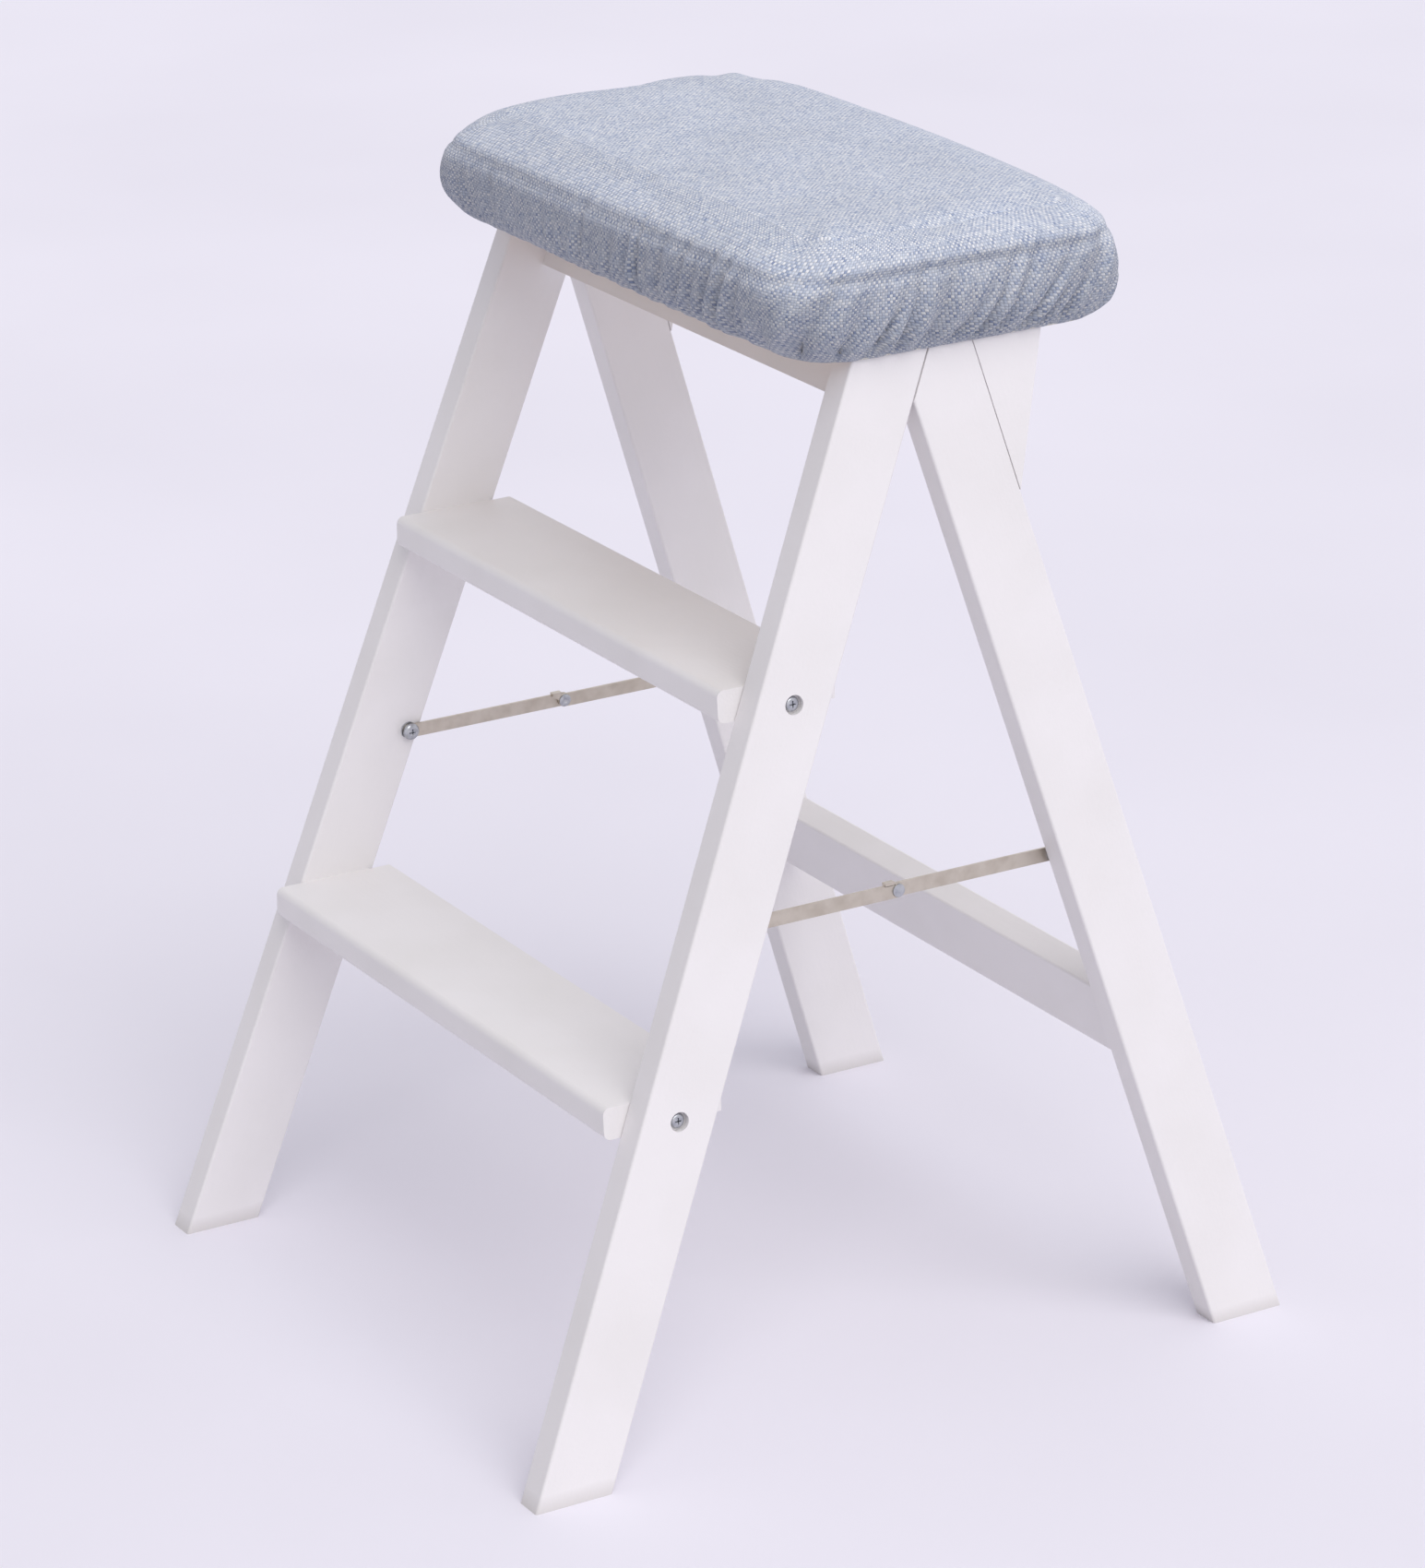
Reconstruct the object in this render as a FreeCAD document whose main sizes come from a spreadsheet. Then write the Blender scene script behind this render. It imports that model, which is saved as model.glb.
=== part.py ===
import FreeCAD, Part
import math
import os
import Sketcher
from FreeCAD import Placement, Rotation, Vector

# Folding step stool: a painted softwood frame of two hinged halves, two treads and a padded seat.
# Axes: X across the stool, -Y to the side that is climbed, +Z up. The origin is on the floor at the
# middle of the four feet. Lengths are in millimetres and angles in degrees.

SIZES = (
    ("BaseWidth", 444, "outside width of the frame at the floor"),
    ("FrameHeight", 595, "floor to the tops of the front stiles"),
    ("ApexDrop", 30, "tops of the front stiles down to the point where stiles and legs part"),
    ("FrontLean", 20.8, "lean of the front stiles from upright"),
    ("RearLean", 17.3, "lean of the rear legs from upright"),
    ("SideSplay", 3.125, "lean of each side towards the middle"),
    ("BoardThickness", 18, "thickness of all planed boards"),
    ("StileWidth", 44, "width of the front stiles"),
    ("LegWidth", 44, "width of the rear legs"),
    ("EdgeEase", 1.5, "rounding of the board edges"),
    ("LowerTreadTop", 209, "floor to the top of the lower tread"),
    ("UpperTreadTop", 423.5, "floor to the top of the upper tread"),
    ("TreadDepth", 73, "front to back of a tread"),
    ("TreadNose", 16, "overhang of a tread ahead of the stiles"),
    ("TreadNoseRound", 4, "rounding of the front edges of a tread"),
    ("TreadRelief", 1.2, "cut at the rear tread ends that lets the folded legs pass"),
    ("CrossbarWidth", 44, "width of the bar between the rear legs"),
    ("CrossbarDrop", 388, "apex to the top edge of the crossbar, along the leg"),
    ("CrossbarInset", 13, "front edge of the leg to the front face of the crossbar"),
    ("WedgeLength", 89, "top of the frame down to the tip of a head wedge"),
    ("WedgeTopWidth", 44, "width of a head wedge at its top"),
    ("SeamGap", 0.3, "gap between the two frame halves when the stool stands open"),
    ("PivotDrop", 8, "apex down to the axis of the hinge pins"),
    ("HingeInset", 73.4, "end of a hinge rail to the middle of its hinge"),
    ("LeafLength", 76, "length of a hinge leaf"),
    ("LeafReach", 17, "hinge axis to the free edge of a leaf"),
    ("LeafThickness", 1.2, "thickness of a hinge leaf"),
    ("BarrelDiameter", 5.6, "outside of the rolled hinge knuckles"),
    ("PinDiameter", 2.6, "hinge pin"),
    ("PinClearance", 0.15, "radial play of a pin or rivet in its bore"),
    ("RunningGap", 0.3, "play between parts that pass each other"),
    ("StayHeight", 291, "floor to the end screws of the stays"),
    ("StayInset", 6.5, "end screws of the stays to the board edge"),
    ("StayWidth", 8, "width of a stay link"),
    ("StayThickness", 1.5, "thickness of a stay link"),
    ("StayStandoff", 1.5, "washer between a stay and the wood"),
    ("StayEndGap", 2.1, "rear stay screw to the leg, which sways a little as the splayed halves swing"),
    ("StayShoulder", 5, "shoulder of a stay screw"),
    ("StayHead", 10, "head of a stay screw"),
    ("StayHeadHeight", 2.4, "height of the head of a stay screw"),
    ("RivetDiameter", 4, "rivet that joins the two links of a stay"),
    ("RivetHead", 7.6, "heads of that rivet"),
    ("RivetHeadHeight", 0.8, "height of a rivet head"),
    ("TabLength", 6, "stop tab of a stay, along the link"),
    ("TabStart", 2.2, "rivet to the near end of the stop tab"),
    ("NotchDepth", 0.7, "seat for the tab in the edge of the front link"),
    ("SeatOverhang", 27, "seat board ahead of the stile tops"),
    ("SeatDepth", 188, "front to back of the seat board"),
    ("SeatCorner", 30, "corner radius of the seat board in plan"),
    ("CushionHeight", 42, "top of the seat board to the crown of the cushion"),
    ("CushionBulge", 11.2, "sides of the cushion beyond the edge of the seat board"),
    ("CoverThickness", 1.4, "woven cover"),
    ("HemTurn", 3, "cover turned in under the seat board"),
    ("HemDrop", 2.8, "hem below the seat board"),
    ("ElasticWidth", 1.8, "square elastic in the hem"),
    ("ScrewPlay", 0.05, "radial play of a fastener in its bore"),
    ("CounterboreDiameter", 11, "recess over the head of a tread screw"),
    ("CounterboreDepth", 4, "depth of the seat of a tread screw"),
    ("DowelDiameter", 6, "beech dowels"),
    ("DowelLength", 30, "beech dowels"),
    ("DowelInStile", 11, "part of a dowel that is let into a stile or leg"),
    ("DowelSpacing", 18, "distance between the two dowels of one joint"),
)

# Sizes that follow from those above
WORKED_OUT = (
    ("FrontRise", "tan(FrontLean)"),
    ("RearRise", "tan(RearLean)"),
    ("SplayRise", "tan(SideSplay)"),
    ("SplayCos", "cos(SideSplay)"),
    ("StileRun", "StileWidth / cos(FrontLean)"),
    ("LegRun", "LegWidth / cos(RearLean)"),
    ("BoardRun", "BoardThickness / SplayCos"),
    ("ApexHeight", "FrameHeight - ApexDrop"),
    ("WedgeTip", "FrameHeight - WedgeLength"),
    ("ToeY", "-(StileRun + LegRun + ApexHeight * (FrontRise + RearRise)) / 2"),
    ("ApexY", "ToeY + StileRun + ApexHeight * FrontRise"),
    ("SeamRun", "SeamGap / cos(FrontLean)"),
    ("LegTop", "FrameHeight - SeamGap"),
    ("LegCorner", "ApexHeight - SeamRun / (FrontRise + RearRise)"),
    ("PivotY", "ApexY + PivotDrop * sin((RearLean - FrontLean) / 2)"),
    ("PivotZ", "ApexHeight - PivotDrop * cos((RearLean - FrontLean) / 2)"),
    ("LeafTop", "BarrelDiameter / 2 + RunningGap"),
    ("RailUnderside", "PivotZ + LeafTop"),
    ("RailRun", "BoardThickness / cos(FrontLean)"),
    ("HingeSpacing", "BaseWidth - 2 * (SplayRise * RailUnderside + BoardRun + HingeInset)"),
    ("FoldAngle", "FrontLean + RearLean"),
    ("StayFrontY", "ApexY - (ApexHeight - StayHeight) * FrontRise - StayInset / cos(FrontLean)"),
    ("StayRearY", "ApexY + (ApexHeight - StayHeight) * RearRise + StayInset / cos(RearLean)"),
    ("LinkLength", "(StayRearY - StayFrontY) / 2"),
    ("RearLayer", "StayStandoff + StayThickness + RunningGap"),
    ("HemBottom", "FrameHeight - HemDrop"),
    ("HemHalf", "BaseWidth / 2 - SplayRise * HemBottom + SeamGap"),
    ("SeatHalf", "HemHalf + HemTurn"),
    ("SeatFront", "ToeY + FrontRise * FrameHeight - SeatOverhang"),
    ("SeatRear", "SeatFront + SeatDepth"),
    ("SeatTop", "FrameHeight + BoardThickness"),
    ("CushionTop", "SeatTop + CushionHeight"),
)

doc = FreeCAD.newDocument("step_stool")
sheet = doc.addObject("Spreadsheet::Sheet", "Sizes")
for row, (alias, number, note) in enumerate(SIZES, start=1):
    sheet.set(f"A{row}", note)
    sheet.set(f"B{row}", str(number))
    sheet.setAlias(f"B{row}", alias)
for row, (alias, formula) in enumerate(WORKED_OUT, start=len(SIZES) + 1):
    sheet.set(f"A{row}", formula)
    sheet.set(f"B{row}", "=" + formula)
    sheet.setAlias(f"B{row}", alias)
doc.recompute()

nodes = []
SIDES = (("left", -1), ("right", 1))


def size(alias):
    """Value of one cell of the sheet."""
    return float(sheet.get(alias))


def value(text):
    """Value of an expression on the sheet."""
    return float(sheet.evalExpression(text.replace("Sizes.", "")))


def keep(thing, name):
    """Name a finished piece and list it for export."""
    thing.Label = name
    nodes.append(thing)
    return thing


# Sketches


def origin_plane(body, role):
    """One of the body's own origin planes."""
    return next(plane for plane in body.Origin.OriginFeatures if plane.Role == role)


def plane_sketch(body, role, name):
    """Empty sketch on an origin plane of the body."""
    sketch = body.newObject("Sketcher::SketchObject", name)
    sketch.AttachmentSupport = [(origin_plane(body, role), "")]
    sketch.MapMode = "FlatFace"
    return sketch


def side_sketch(body, side, name, inward="0"):
    """Empty sketch in the plane of one splayed side, moved towards the middle of the stool.

    Its own axes are Y and the direction that climbs along the side.
    """
    sketch = plane_sketch(body, "YZ_Plane", name)
    sketch.AttachmentOffset = Placement(Vector(), Rotation(Vector(1, 0, 0), -side * size("SideSplay")))
    sketch.setExpression("AttachmentOffset.Rotation.Angle", f"{-side} * Sizes.SideSplay * 1 deg")
    sketch.setExpression("AttachmentOffset.Base.y", f"-({inward}) * sin(Sizes.SideSplay)")
    sketch.setExpression("AttachmentOffset.Base.z", f"{-side} * ({inward}) * Sizes.SplayCos")
    return sketch


def outline(sketch, corners):
    """Closed polygon whose corners are held by expressions."""
    first = sketch.GeometryCount
    count = len(corners)
    points = [Vector(value(across), value(up), 0) for across, up in corners]
    for index in range(count):
        sketch.addGeometry(Part.LineSegment(points[index], points[(index + 1) % count]), False)
    for index in range(count):
        following = first + (index + 1) % count
        sketch.addConstraint(Sketcher.Constraint("Coincident", first + index, 2, following, 1))
    for index, corner in enumerate(corners):
        for kind, text in zip(("DistanceX", "DistanceY"), corner):
            datum = Sketcher.Constraint(kind, -1, 1, first + index, 1, value(text))
            sketch.setExpression(f"Constraints[{sketch.addConstraint(datum)}]", text)


def circle(sketch, across, up, diameter):
    """Circle whose middle and diameter are held by expressions."""
    middle = Vector(value(across), value(up), 0)
    ring = sketch.addGeometry(Part.Circle(middle, Vector(0, 0, 1), value(diameter) / 2), False)
    datum = Sketcher.Constraint("Diameter", ring, value(diameter))
    sketch.setExpression(f"Constraints[{sketch.addConstraint(datum)}]", diameter)
    for kind, text in (("DistanceX", across), ("DistanceY", up)):
        datum = Sketcher.Constraint(kind, -1, 1, ring, 3, value(text))
        sketch.setExpression(f"Constraints[{sketch.addConstraint(datum)}]", text)


# Solid features


def new_body(name, place=()):
    """Body whose place follows the sheet; place holds pairs of axis letter and expression."""
    body = doc.addObject("PartDesign::Body", name)
    for axis, text in place:
        body.setExpression(f"Placement.Base.{axis}", text)
    return body


def pad(body, sketch, length, midplane=False, backwards=False):
    feature = body.newObject("PartDesign::Pad", sketch.Name + "_pad")
    feature.Profile = sketch
    feature.setExpression("Length", length)
    feature.Midplane = midplane
    feature.Reversed = backwards
    doc.recompute()
    return feature


def pocket_through(body, sketch):
    """Cut the sketch right through the body, both ways, and make sure that it does cut."""
    before = body.Shape.Volume
    feature = body.newObject("PartDesign::Pocket", sketch.Name + "_pocket")
    feature.Profile = sketch
    feature.Type = "ThroughAll"
    feature.Midplane = True
    doc.recompute()
    if body.Shape.Volume >= before:
        raise ValueError(sketch.Name + " cuts nothing")
    return feature


def round_edges(body, radius, wanted):
    """Fillet the straight edges whose direction vector passes the test."""
    base = body.Tip
    names = []
    for index, edge in enumerate(base.Shape.Edges, start=1):
        run = edge.Vertexes[-1].Point - edge.Vertexes[0].Point
        if edge.Curve.TypeId == "Part::GeomLine" and wanted(run, edge.CenterOfMass):
            names.append(f"Edge{index}")
    feature = body.newObject("PartDesign::Fillet", body.Name + "_round")
    feature.Base = (base, names)
    feature.setExpression("Radius", radius)
    doc.recompute()
    return feature


# Lines of the two frame halves, as expressions of a height


def stile_front(height):
    return f"(Sizes.ToeY + Sizes.FrontRise * ({height}))"


def stile_rear(height):
    return f"(Sizes.ToeY + Sizes.StileRun + Sizes.FrontRise * ({height}))"


def leg_front(height):
    return f"(Sizes.ApexY + Sizes.RearRise * (Sizes.ApexHeight - ({height})))"


def leg_rear(height):
    return f"(Sizes.ApexY + Sizes.LegRun + Sizes.RearRise * (Sizes.ApexHeight - ({height})))"


def inner_face(height):
    """Distance from the middle of the stool to the inner face of a side."""
    return f"(Sizes.BaseWidth / 2 - Sizes.SplayRise * ({height}) - Sizes.BoardRun)"


def side_board(name, side, corners):
    """Board in one splayed side. Its ends and edges run level across its thickness."""
    body = new_body(name, (("x", f"{side} * Sizes.BaseWidth / 2"),))
    sketch = side_sketch(body, side, name + "_outline")
    outline(sketch, [(across, f"({up}) / Sizes.SplayCos") for across, up in corners])
    feature = body.newObject("PartDesign::Pad", name + "_pad")
    feature.Profile = sketch
    feature.UseCustomVector = True
    feature.Direction = Vector(-side, 0, 0)
    feature.AlongSketchNormal = False
    feature.setExpression("Length", "Sizes.BoardRun")
    doc.recompute()
    return body


def cross_member(name, corners, low, high):
    """Bar across the stool, cut at both ends to the inner faces of the splayed sides."""
    body = new_body(name)
    profile = plane_sketch(body, "YZ_Plane", name + "_profile")
    outline(profile, corners)
    pad(body, profile, "Sizes.BaseWidth", midplane=True)
    ends = plane_sketch(body, "XZ_Plane", name + "_ends")
    for sign in (-1, 1):
        outline(ends, (
            (f"{sign} * {inner_face(low)}", low),
            (f"{sign} * {inner_face(high)}", high),
            (f"{sign} * Sizes.BaseWidth", high),
            (f"{sign} * Sizes.BaseWidth", low),
        ))
    pocket_through(body, ends)
    return body


# Fasteners


def turned(profile, flats=10):
    """Solid around Z with a few flats, for a profile of radius and height pairs that climbs."""
    angles = [2 * math.pi * index / flats for index in range(flats)]
    rings = []
    for radius, height in profile:
        rings.append([Vector(radius * math.cos(a), radius * math.sin(a), height) for a in angles])
    outlines = [rings[0], rings[-1]]
    for low, high in zip(rings, rings[1:]):
        if low != high:
            outlines += [[low[i - 1], low[i], high[i], high[i - 1]] for i in range(flats)]
    faces = [Part.Face(Part.makePolygon(points + points[:1])) for points in outlines]
    solid = Part.Solid(Part.Shell(faces)).removeSplitter()
    return solid if solid.Volume > 0 else solid.reversed()


def screw(shank, length, head, head_height, cone=0.0):
    """Screw along -Z with the top of its head at the origin; cone is the countersunk part."""
    return turned([
        (shank / 2, -length), (shank / 2, -head_height), (head / 2, -head_height + cone), (head / 2, 0),
    ])


def turned_to(shape, point, direction):
    """Copy of a shape whose +Z is turned to a direction, with its origin at a point."""
    copy = shape.copy()
    copy.Placement = Placement(point, Rotation(Vector(0, 0, 1), direction))
    return copy


def group(name, shapes):
    """Node of separate solids that are all alike."""
    thing = doc.addObject("Part::Feature", name)
    thing.Shape = Part.makeCompound(shapes)
    return keep(thing, name)


def bored(body, bores, name):
    """The piece with the bores of its fasteners cut out."""
    tool = doc.addObject("Part::Feature", name + "_bores")
    tool.Shape = Part.makeCompound(bores)
    cut = doc.addObject("Part::Cut", name + "_bored")
    cut.Base = body
    cut.Tool = tool
    doc.recompute()
    if cut.Shape.Volume >= body.Shape.Volume:
        raise ValueError(name + " isn't bored")
    return keep(cut, name)


def outward(side):
    """Unit vector square to the outer face of a side."""
    splay = math.radians(size("SideSplay"))
    return Vector(side * math.cos(splay), 0, math.sin(splay))


def on_side(side, across, height, inward=0.0):
    """Point on the outer face of a side, or below it by a distance along its normal."""
    face = Vector(side * (size("BaseWidth") / 2 - size("SplayRise") * height), across, height)
    return face - outward(side) * inward


def on_wood(side, across, height):
    """Point on the inner face of a side."""
    return Vector(side * value(inner_face(height)), across, height)


bores = {}
play = size("ScrewPlay")


def bore_for(names, shape):
    """Remember a bore for every piece that the fastener passes through."""
    for name in names:
        bores.setdefault(name, []).append(shape)


# Tread screws: one at each end of each tread, sunk in a counterbore in the stile
TREADS = (("lower", "Sizes.LowerTreadTop"), ("upper", "Sizes.UpperTreadTop"))
TREAD_SCREW_SHANK = 4.5
TREAD_SCREW_LENGTH = 45
TREAD_SCREW_HEAD = 8.5
TREAD_SCREW_HEAD_HEIGHT = 2.6

tread_screws = []
for side_name, side in SIDES:
    for level, top in TREADS:
        height = value(f"{top} - Sizes.BoardThickness / 2")
        middle = value(stile_front(height)) + size("StileRun") / 2
        seat = size("CounterboreDepth") - TREAD_SCREW_HEAD_HEIGHT
        place = on_side(side, middle, height, seat)
        solid = screw(TREAD_SCREW_SHANK, TREAD_SCREW_LENGTH, TREAD_SCREW_HEAD, TREAD_SCREW_HEAD_HEIGHT)
        tread_screws.append(turned_to(solid, place, outward(side)))
        shank = turned([(TREAD_SCREW_SHANK / 2 + play, height) for height in (-TREAD_SCREW_LENGTH - 1, 0)])
        recess = Part.makeCylinder(size("CounterboreDiameter") / 2, 3 * seat, Vector(0, 0, -TREAD_SCREW_HEAD_HEIGHT))
        hole = turned_to(shank.fuse(recess), place, outward(side))
        bore_for((f"stile_{side_name}", f"tread_{level}"), hole)
group("tread_screws", tread_screws)


def dowel_joint(name, pieces, points):
    """Beech dowels between a cross member and the two sides, two at each end."""
    solids = []
    for side_name, side in SIDES:
        for across, height in points:
            depth = size("BoardThickness") - size("DowelInStile")
            place = on_side(side, across, height, depth)
            radius = size("DowelDiameter") / 2
            length = size("DowelLength")
            solid = turned([(radius, -length), (radius, 0)])
            hole = turned([(radius + play, -length - play), (radius + play, play)])
            solids.append(turned_to(solid, place, outward(side)))
            bore_for((pieces[0], f"{pieces[1]}_{side_name}"), turned_to(hole, place, outward(side)))
    group(name, solids)


def along_leg(drop, depth):
    """Point of a leg, given along it from the apex and square to its front edge."""
    lean = math.radians(size("RearLean"))
    across = size("ApexY") + drop * math.sin(lean) + depth * math.cos(lean)
    return across, size("ApexHeight") - drop * math.cos(lean) + depth * math.sin(lean)


def rail_points(behind):
    """Dowel places of a hinge rail, whose middle plane is this far behind the seam."""
    lean = math.radians(size("FrontLean"))
    middle = (size("RailUnderside") + size("FrameHeight")) / 2
    points = []
    for sign in (-1, 1):
        height = middle + sign * size("DowelSpacing") / 2 * math.cos(lean)
        seam = size("ApexY") + (height - size("ApexHeight")) * size("FrontRise")
        points.append((seam + behind / math.cos(lean), height))
    return points


half_board = size("BoardThickness") / 2
dowel_joint("rail_dowels_front", ("hinge_rail_front", "stile"), rail_points(-half_board))
dowel_joint("rail_dowels_rear", ("hinge_rail_rear", "leg"), rail_points(half_board + size("SeamGap")))
crossbar_middle = size("CrossbarDrop") + size("CrossbarWidth") / 2
dowel_joint("crossbar_dowels", ("crossbar", "leg"), [
    along_leg(crossbar_middle + sign * size("DowelSpacing") / 2, size("CrossbarInset") + half_board)
    for sign in (-1, 1)
])

# Wedge screws: pan-headed, driven square into the rear edge of each head wedge and on into the leg
WEDGE_SCREW_DROPS = (44, 10)
WEDGE_SCREW_SHANK = 3.5
WEDGE_SCREW_LENGTH = 50
WEDGE_SCREW_HEAD = 7
WEDGE_SCREW_HEAD_HEIGHT = 2

wedge_rear_top = f"({leg_rear('Sizes.LegTop')} + Sizes.WedgeTopWidth)"
wedge_rear_slope = (value(wedge_rear_top) - value(leg_rear("Sizes.WedgeTip"))) / (size("LegTop") - size("WedgeTip"))
wedge_screws = []
out_of_wedge = Vector(0, 1, -wedge_rear_slope).normalize()
for side_name, side in SIDES:
    for drop in WEDGE_SCREW_DROPS:
        height = size("FrameHeight") - drop
        across = value(wedge_rear_top) - wedge_rear_slope * (size("LegTop") - height)
        place = on_side(side, across, height, half_board) + out_of_wedge * (WEDGE_SCREW_HEAD_HEIGHT + play)
        solid = screw(WEDGE_SCREW_SHANK, WEDGE_SCREW_LENGTH, WEDGE_SCREW_HEAD, WEDGE_SCREW_HEAD_HEIGHT)
        wedge_screws.append(turned_to(solid, place, out_of_wedge))
        hole = turned([(WEDGE_SCREW_SHANK / 2 + play, height) for height in (-WEDGE_SCREW_LENGTH - 1, 0)])
        bore_for((f"wedge_{side_name}", f"leg_{side_name}"), turned_to(hole, place, out_of_wedge))
group("wedge_screws", wedge_screws)

# Seat screws: driven down through the seat board into the front hinge rail, under the foam
SEAT_SCREW_TO_DOWEL = 7.5
SEAT_SCREW_SHANK = 4
SEAT_SCREW_LENGTH = 36
SEAT_SCREW_HEAD = 8
SEAT_SCREW_CONE = 2.4

seat_screws = []
seat_screw_y = value(stile_rear("Sizes.FrameHeight")) - 0.6 * size("RailRun")
dowel_end = value(inner_face("Sizes.FrameHeight")) - size("DowelLength") + size("DowelInStile")
outer_screw = dowel_end - SEAT_SCREW_TO_DOWEL
for side_name, side in SIDES:
    for across in (0.31 * outer_screw, outer_screw):
        place = Vector(side * across, seat_screw_y, size("SeatTop"))
        solid = screw(SEAT_SCREW_SHANK, SEAT_SCREW_LENGTH, SEAT_SCREW_HEAD, SEAT_SCREW_CONE, SEAT_SCREW_CONE)
        seat_screws.append(turned_to(solid, place, Vector(0, 0, 1)))
        wide = screw(
            SEAT_SCREW_SHANK + 2 * play, SEAT_SCREW_LENGTH + 1, SEAT_SCREW_HEAD + 2 * play,
            SEAT_SCREW_CONE, SEAT_SCREW_CONE,
        )
        bore_for(("seat_board", "hinge_rail_front"), turned_to(wide, place, Vector(0, 0, 1)))
group("seat_screws", seat_screws)

# Hinge screws: two in each leaf, driven up into the rails
HINGE_SCREW_SHANK = 3
HINGE_SCREW_LENGTH = 15
HINGE_SCREW_HEAD = 6
HINGE_SCREW_CONE = 1.1
HINGE_SCREW_PITCH = 50
HINGE_SCREW_BACK = 10.5

for half, sign in (("front", -1), ("rear", 1)):
    solids = []
    for side_name, side in SIDES:
        for step in (-0.5, 0.5):
            place = Vector(
                side * size("HingeSpacing") / 2 + step * HINGE_SCREW_PITCH,
                size("PivotY") + sign * HINGE_SCREW_BACK,
                size("RailUnderside") - size("LeafThickness"),
            )
            down = Vector(0, 0, -1)
            solid = screw(
                HINGE_SCREW_SHANK, HINGE_SCREW_LENGTH, HINGE_SCREW_HEAD, HINGE_SCREW_CONE, HINGE_SCREW_CONE)
            solids.append(turned_to(solid, place, down))
            wide = screw(
                HINGE_SCREW_SHANK + 2 * play, HINGE_SCREW_LENGTH + 1, HINGE_SCREW_HEAD + 2 * play,
                HINGE_SCREW_CONE, HINGE_SCREW_CONE,
            )
            bore_for((f"hinge_rail_{half}", f"hinge_leaf_{half}_{side_name}"), turned_to(wide, place, down))
    group(f"hinge_screws_{half}", solids)

# Shoulder screws that hold the front ends of the stays to the stiles
STAY_SCREW_SHANK = 4
STAY_SCREW_DEPTH = 14


def stay_screw(link_layer, gap, depth):
    """Round-headed shoulder screw along -Z from the wood; its link lies link_layer off the wood."""
    seat = link_layer + size("StayThickness") + size("RunningGap")
    top = seat + size("StayHeadHeight")
    wide = size("StayHead") / 2
    neck = size("StayShoulder") / 2
    washer = link_layer - size("RunningGap") / 2
    shank = STAY_SCREW_SHANK / 2
    shoulder = seat + size("StayHeadHeight") / 3
    stem = [(shank, -depth), (shank, 0)] if depth else []
    return turned(stem + [
        (wide, gap), (wide, washer), (neck, washer), (neck, seat), (wide, seat), (wide, shoulder), (0.55 * wide, top),
    ], 16)


front_screws = []
for side_name, side in SIDES:
    place = on_wood(side, size("StayFrontY"), size("StayHeight"))
    solid = stay_screw(size("StayStandoff"), 0, STAY_SCREW_DEPTH)
    front_screws.append(turned_to(solid, place, -outward(side)))
    hole = turned([(STAY_SCREW_SHANK / 2 + play, height) for height in (-STAY_SCREW_DEPTH - play, 0)], 16)
    bore_for((f"stile_{side_name}",), turned_to(hole, place, -outward(side)))
    rear_place = on_wood(side, size("StayRearY"), size("StayHeight"))
    rear = doc.addObject("Part::Feature", f"stay_rear_screw_{side_name}")
    rear.Shape = stay_screw(size("RearLayer"), size("StayEndGap"), 0)
    rear.Placement = Placement(rear_place, Rotation(Vector(0, 0, 1), -outward(side)))
    keep(rear, f"stay_rear_screw_{side_name}")
group("stay_front_screws", front_screws)

# Front and rear frame sides
for side_name, side in SIDES:
    stile = side_board(f"stile_{side_name}_blank", side, (
        (stile_front("0"), "0"),
        (stile_rear("0"), "0"),
        (stile_rear("Sizes.FrameHeight"), "Sizes.FrameHeight"),
        (stile_front("Sizes.FrameHeight"), "Sizes.FrameHeight"),
    ))
    round_edges(stile, "Sizes.EdgeEase", lambda run, middle: abs(run.z) > size("FrameHeight") / 2)
    bored(stile, bores[f"stile_{side_name}"], f"stile_{side_name}")

    leg = side_board(f"leg_{side_name}_blank", side, (
        (leg_front("0"), "0"),
        (leg_rear("0"), "0"),
        (leg_rear("Sizes.LegTop"), "Sizes.LegTop"),
        (f"{stile_rear('Sizes.LegTop')} + Sizes.SeamRun", "Sizes.LegTop"),
        (leg_front("Sizes.LegCorner"), "Sizes.LegCorner"),
    ))
    round_edges(leg, "Sizes.EdgeEase", lambda run, middle: abs(run.z) > size("FrameHeight") / 2)
    bored(leg, bores[f"leg_{side_name}"], f"leg_{side_name}")

    wedge = side_board(f"wedge_{side_name}_blank", side, (
        (leg_rear("Sizes.WedgeTip"), "Sizes.WedgeTip"),
        (wedge_rear_top, "Sizes.LegTop"),
        (leg_rear("Sizes.LegTop"), "Sizes.LegTop"),
    ))
    bored(wedge, bores[f"wedge_{side_name}"], f"wedge_{side_name}")

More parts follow.
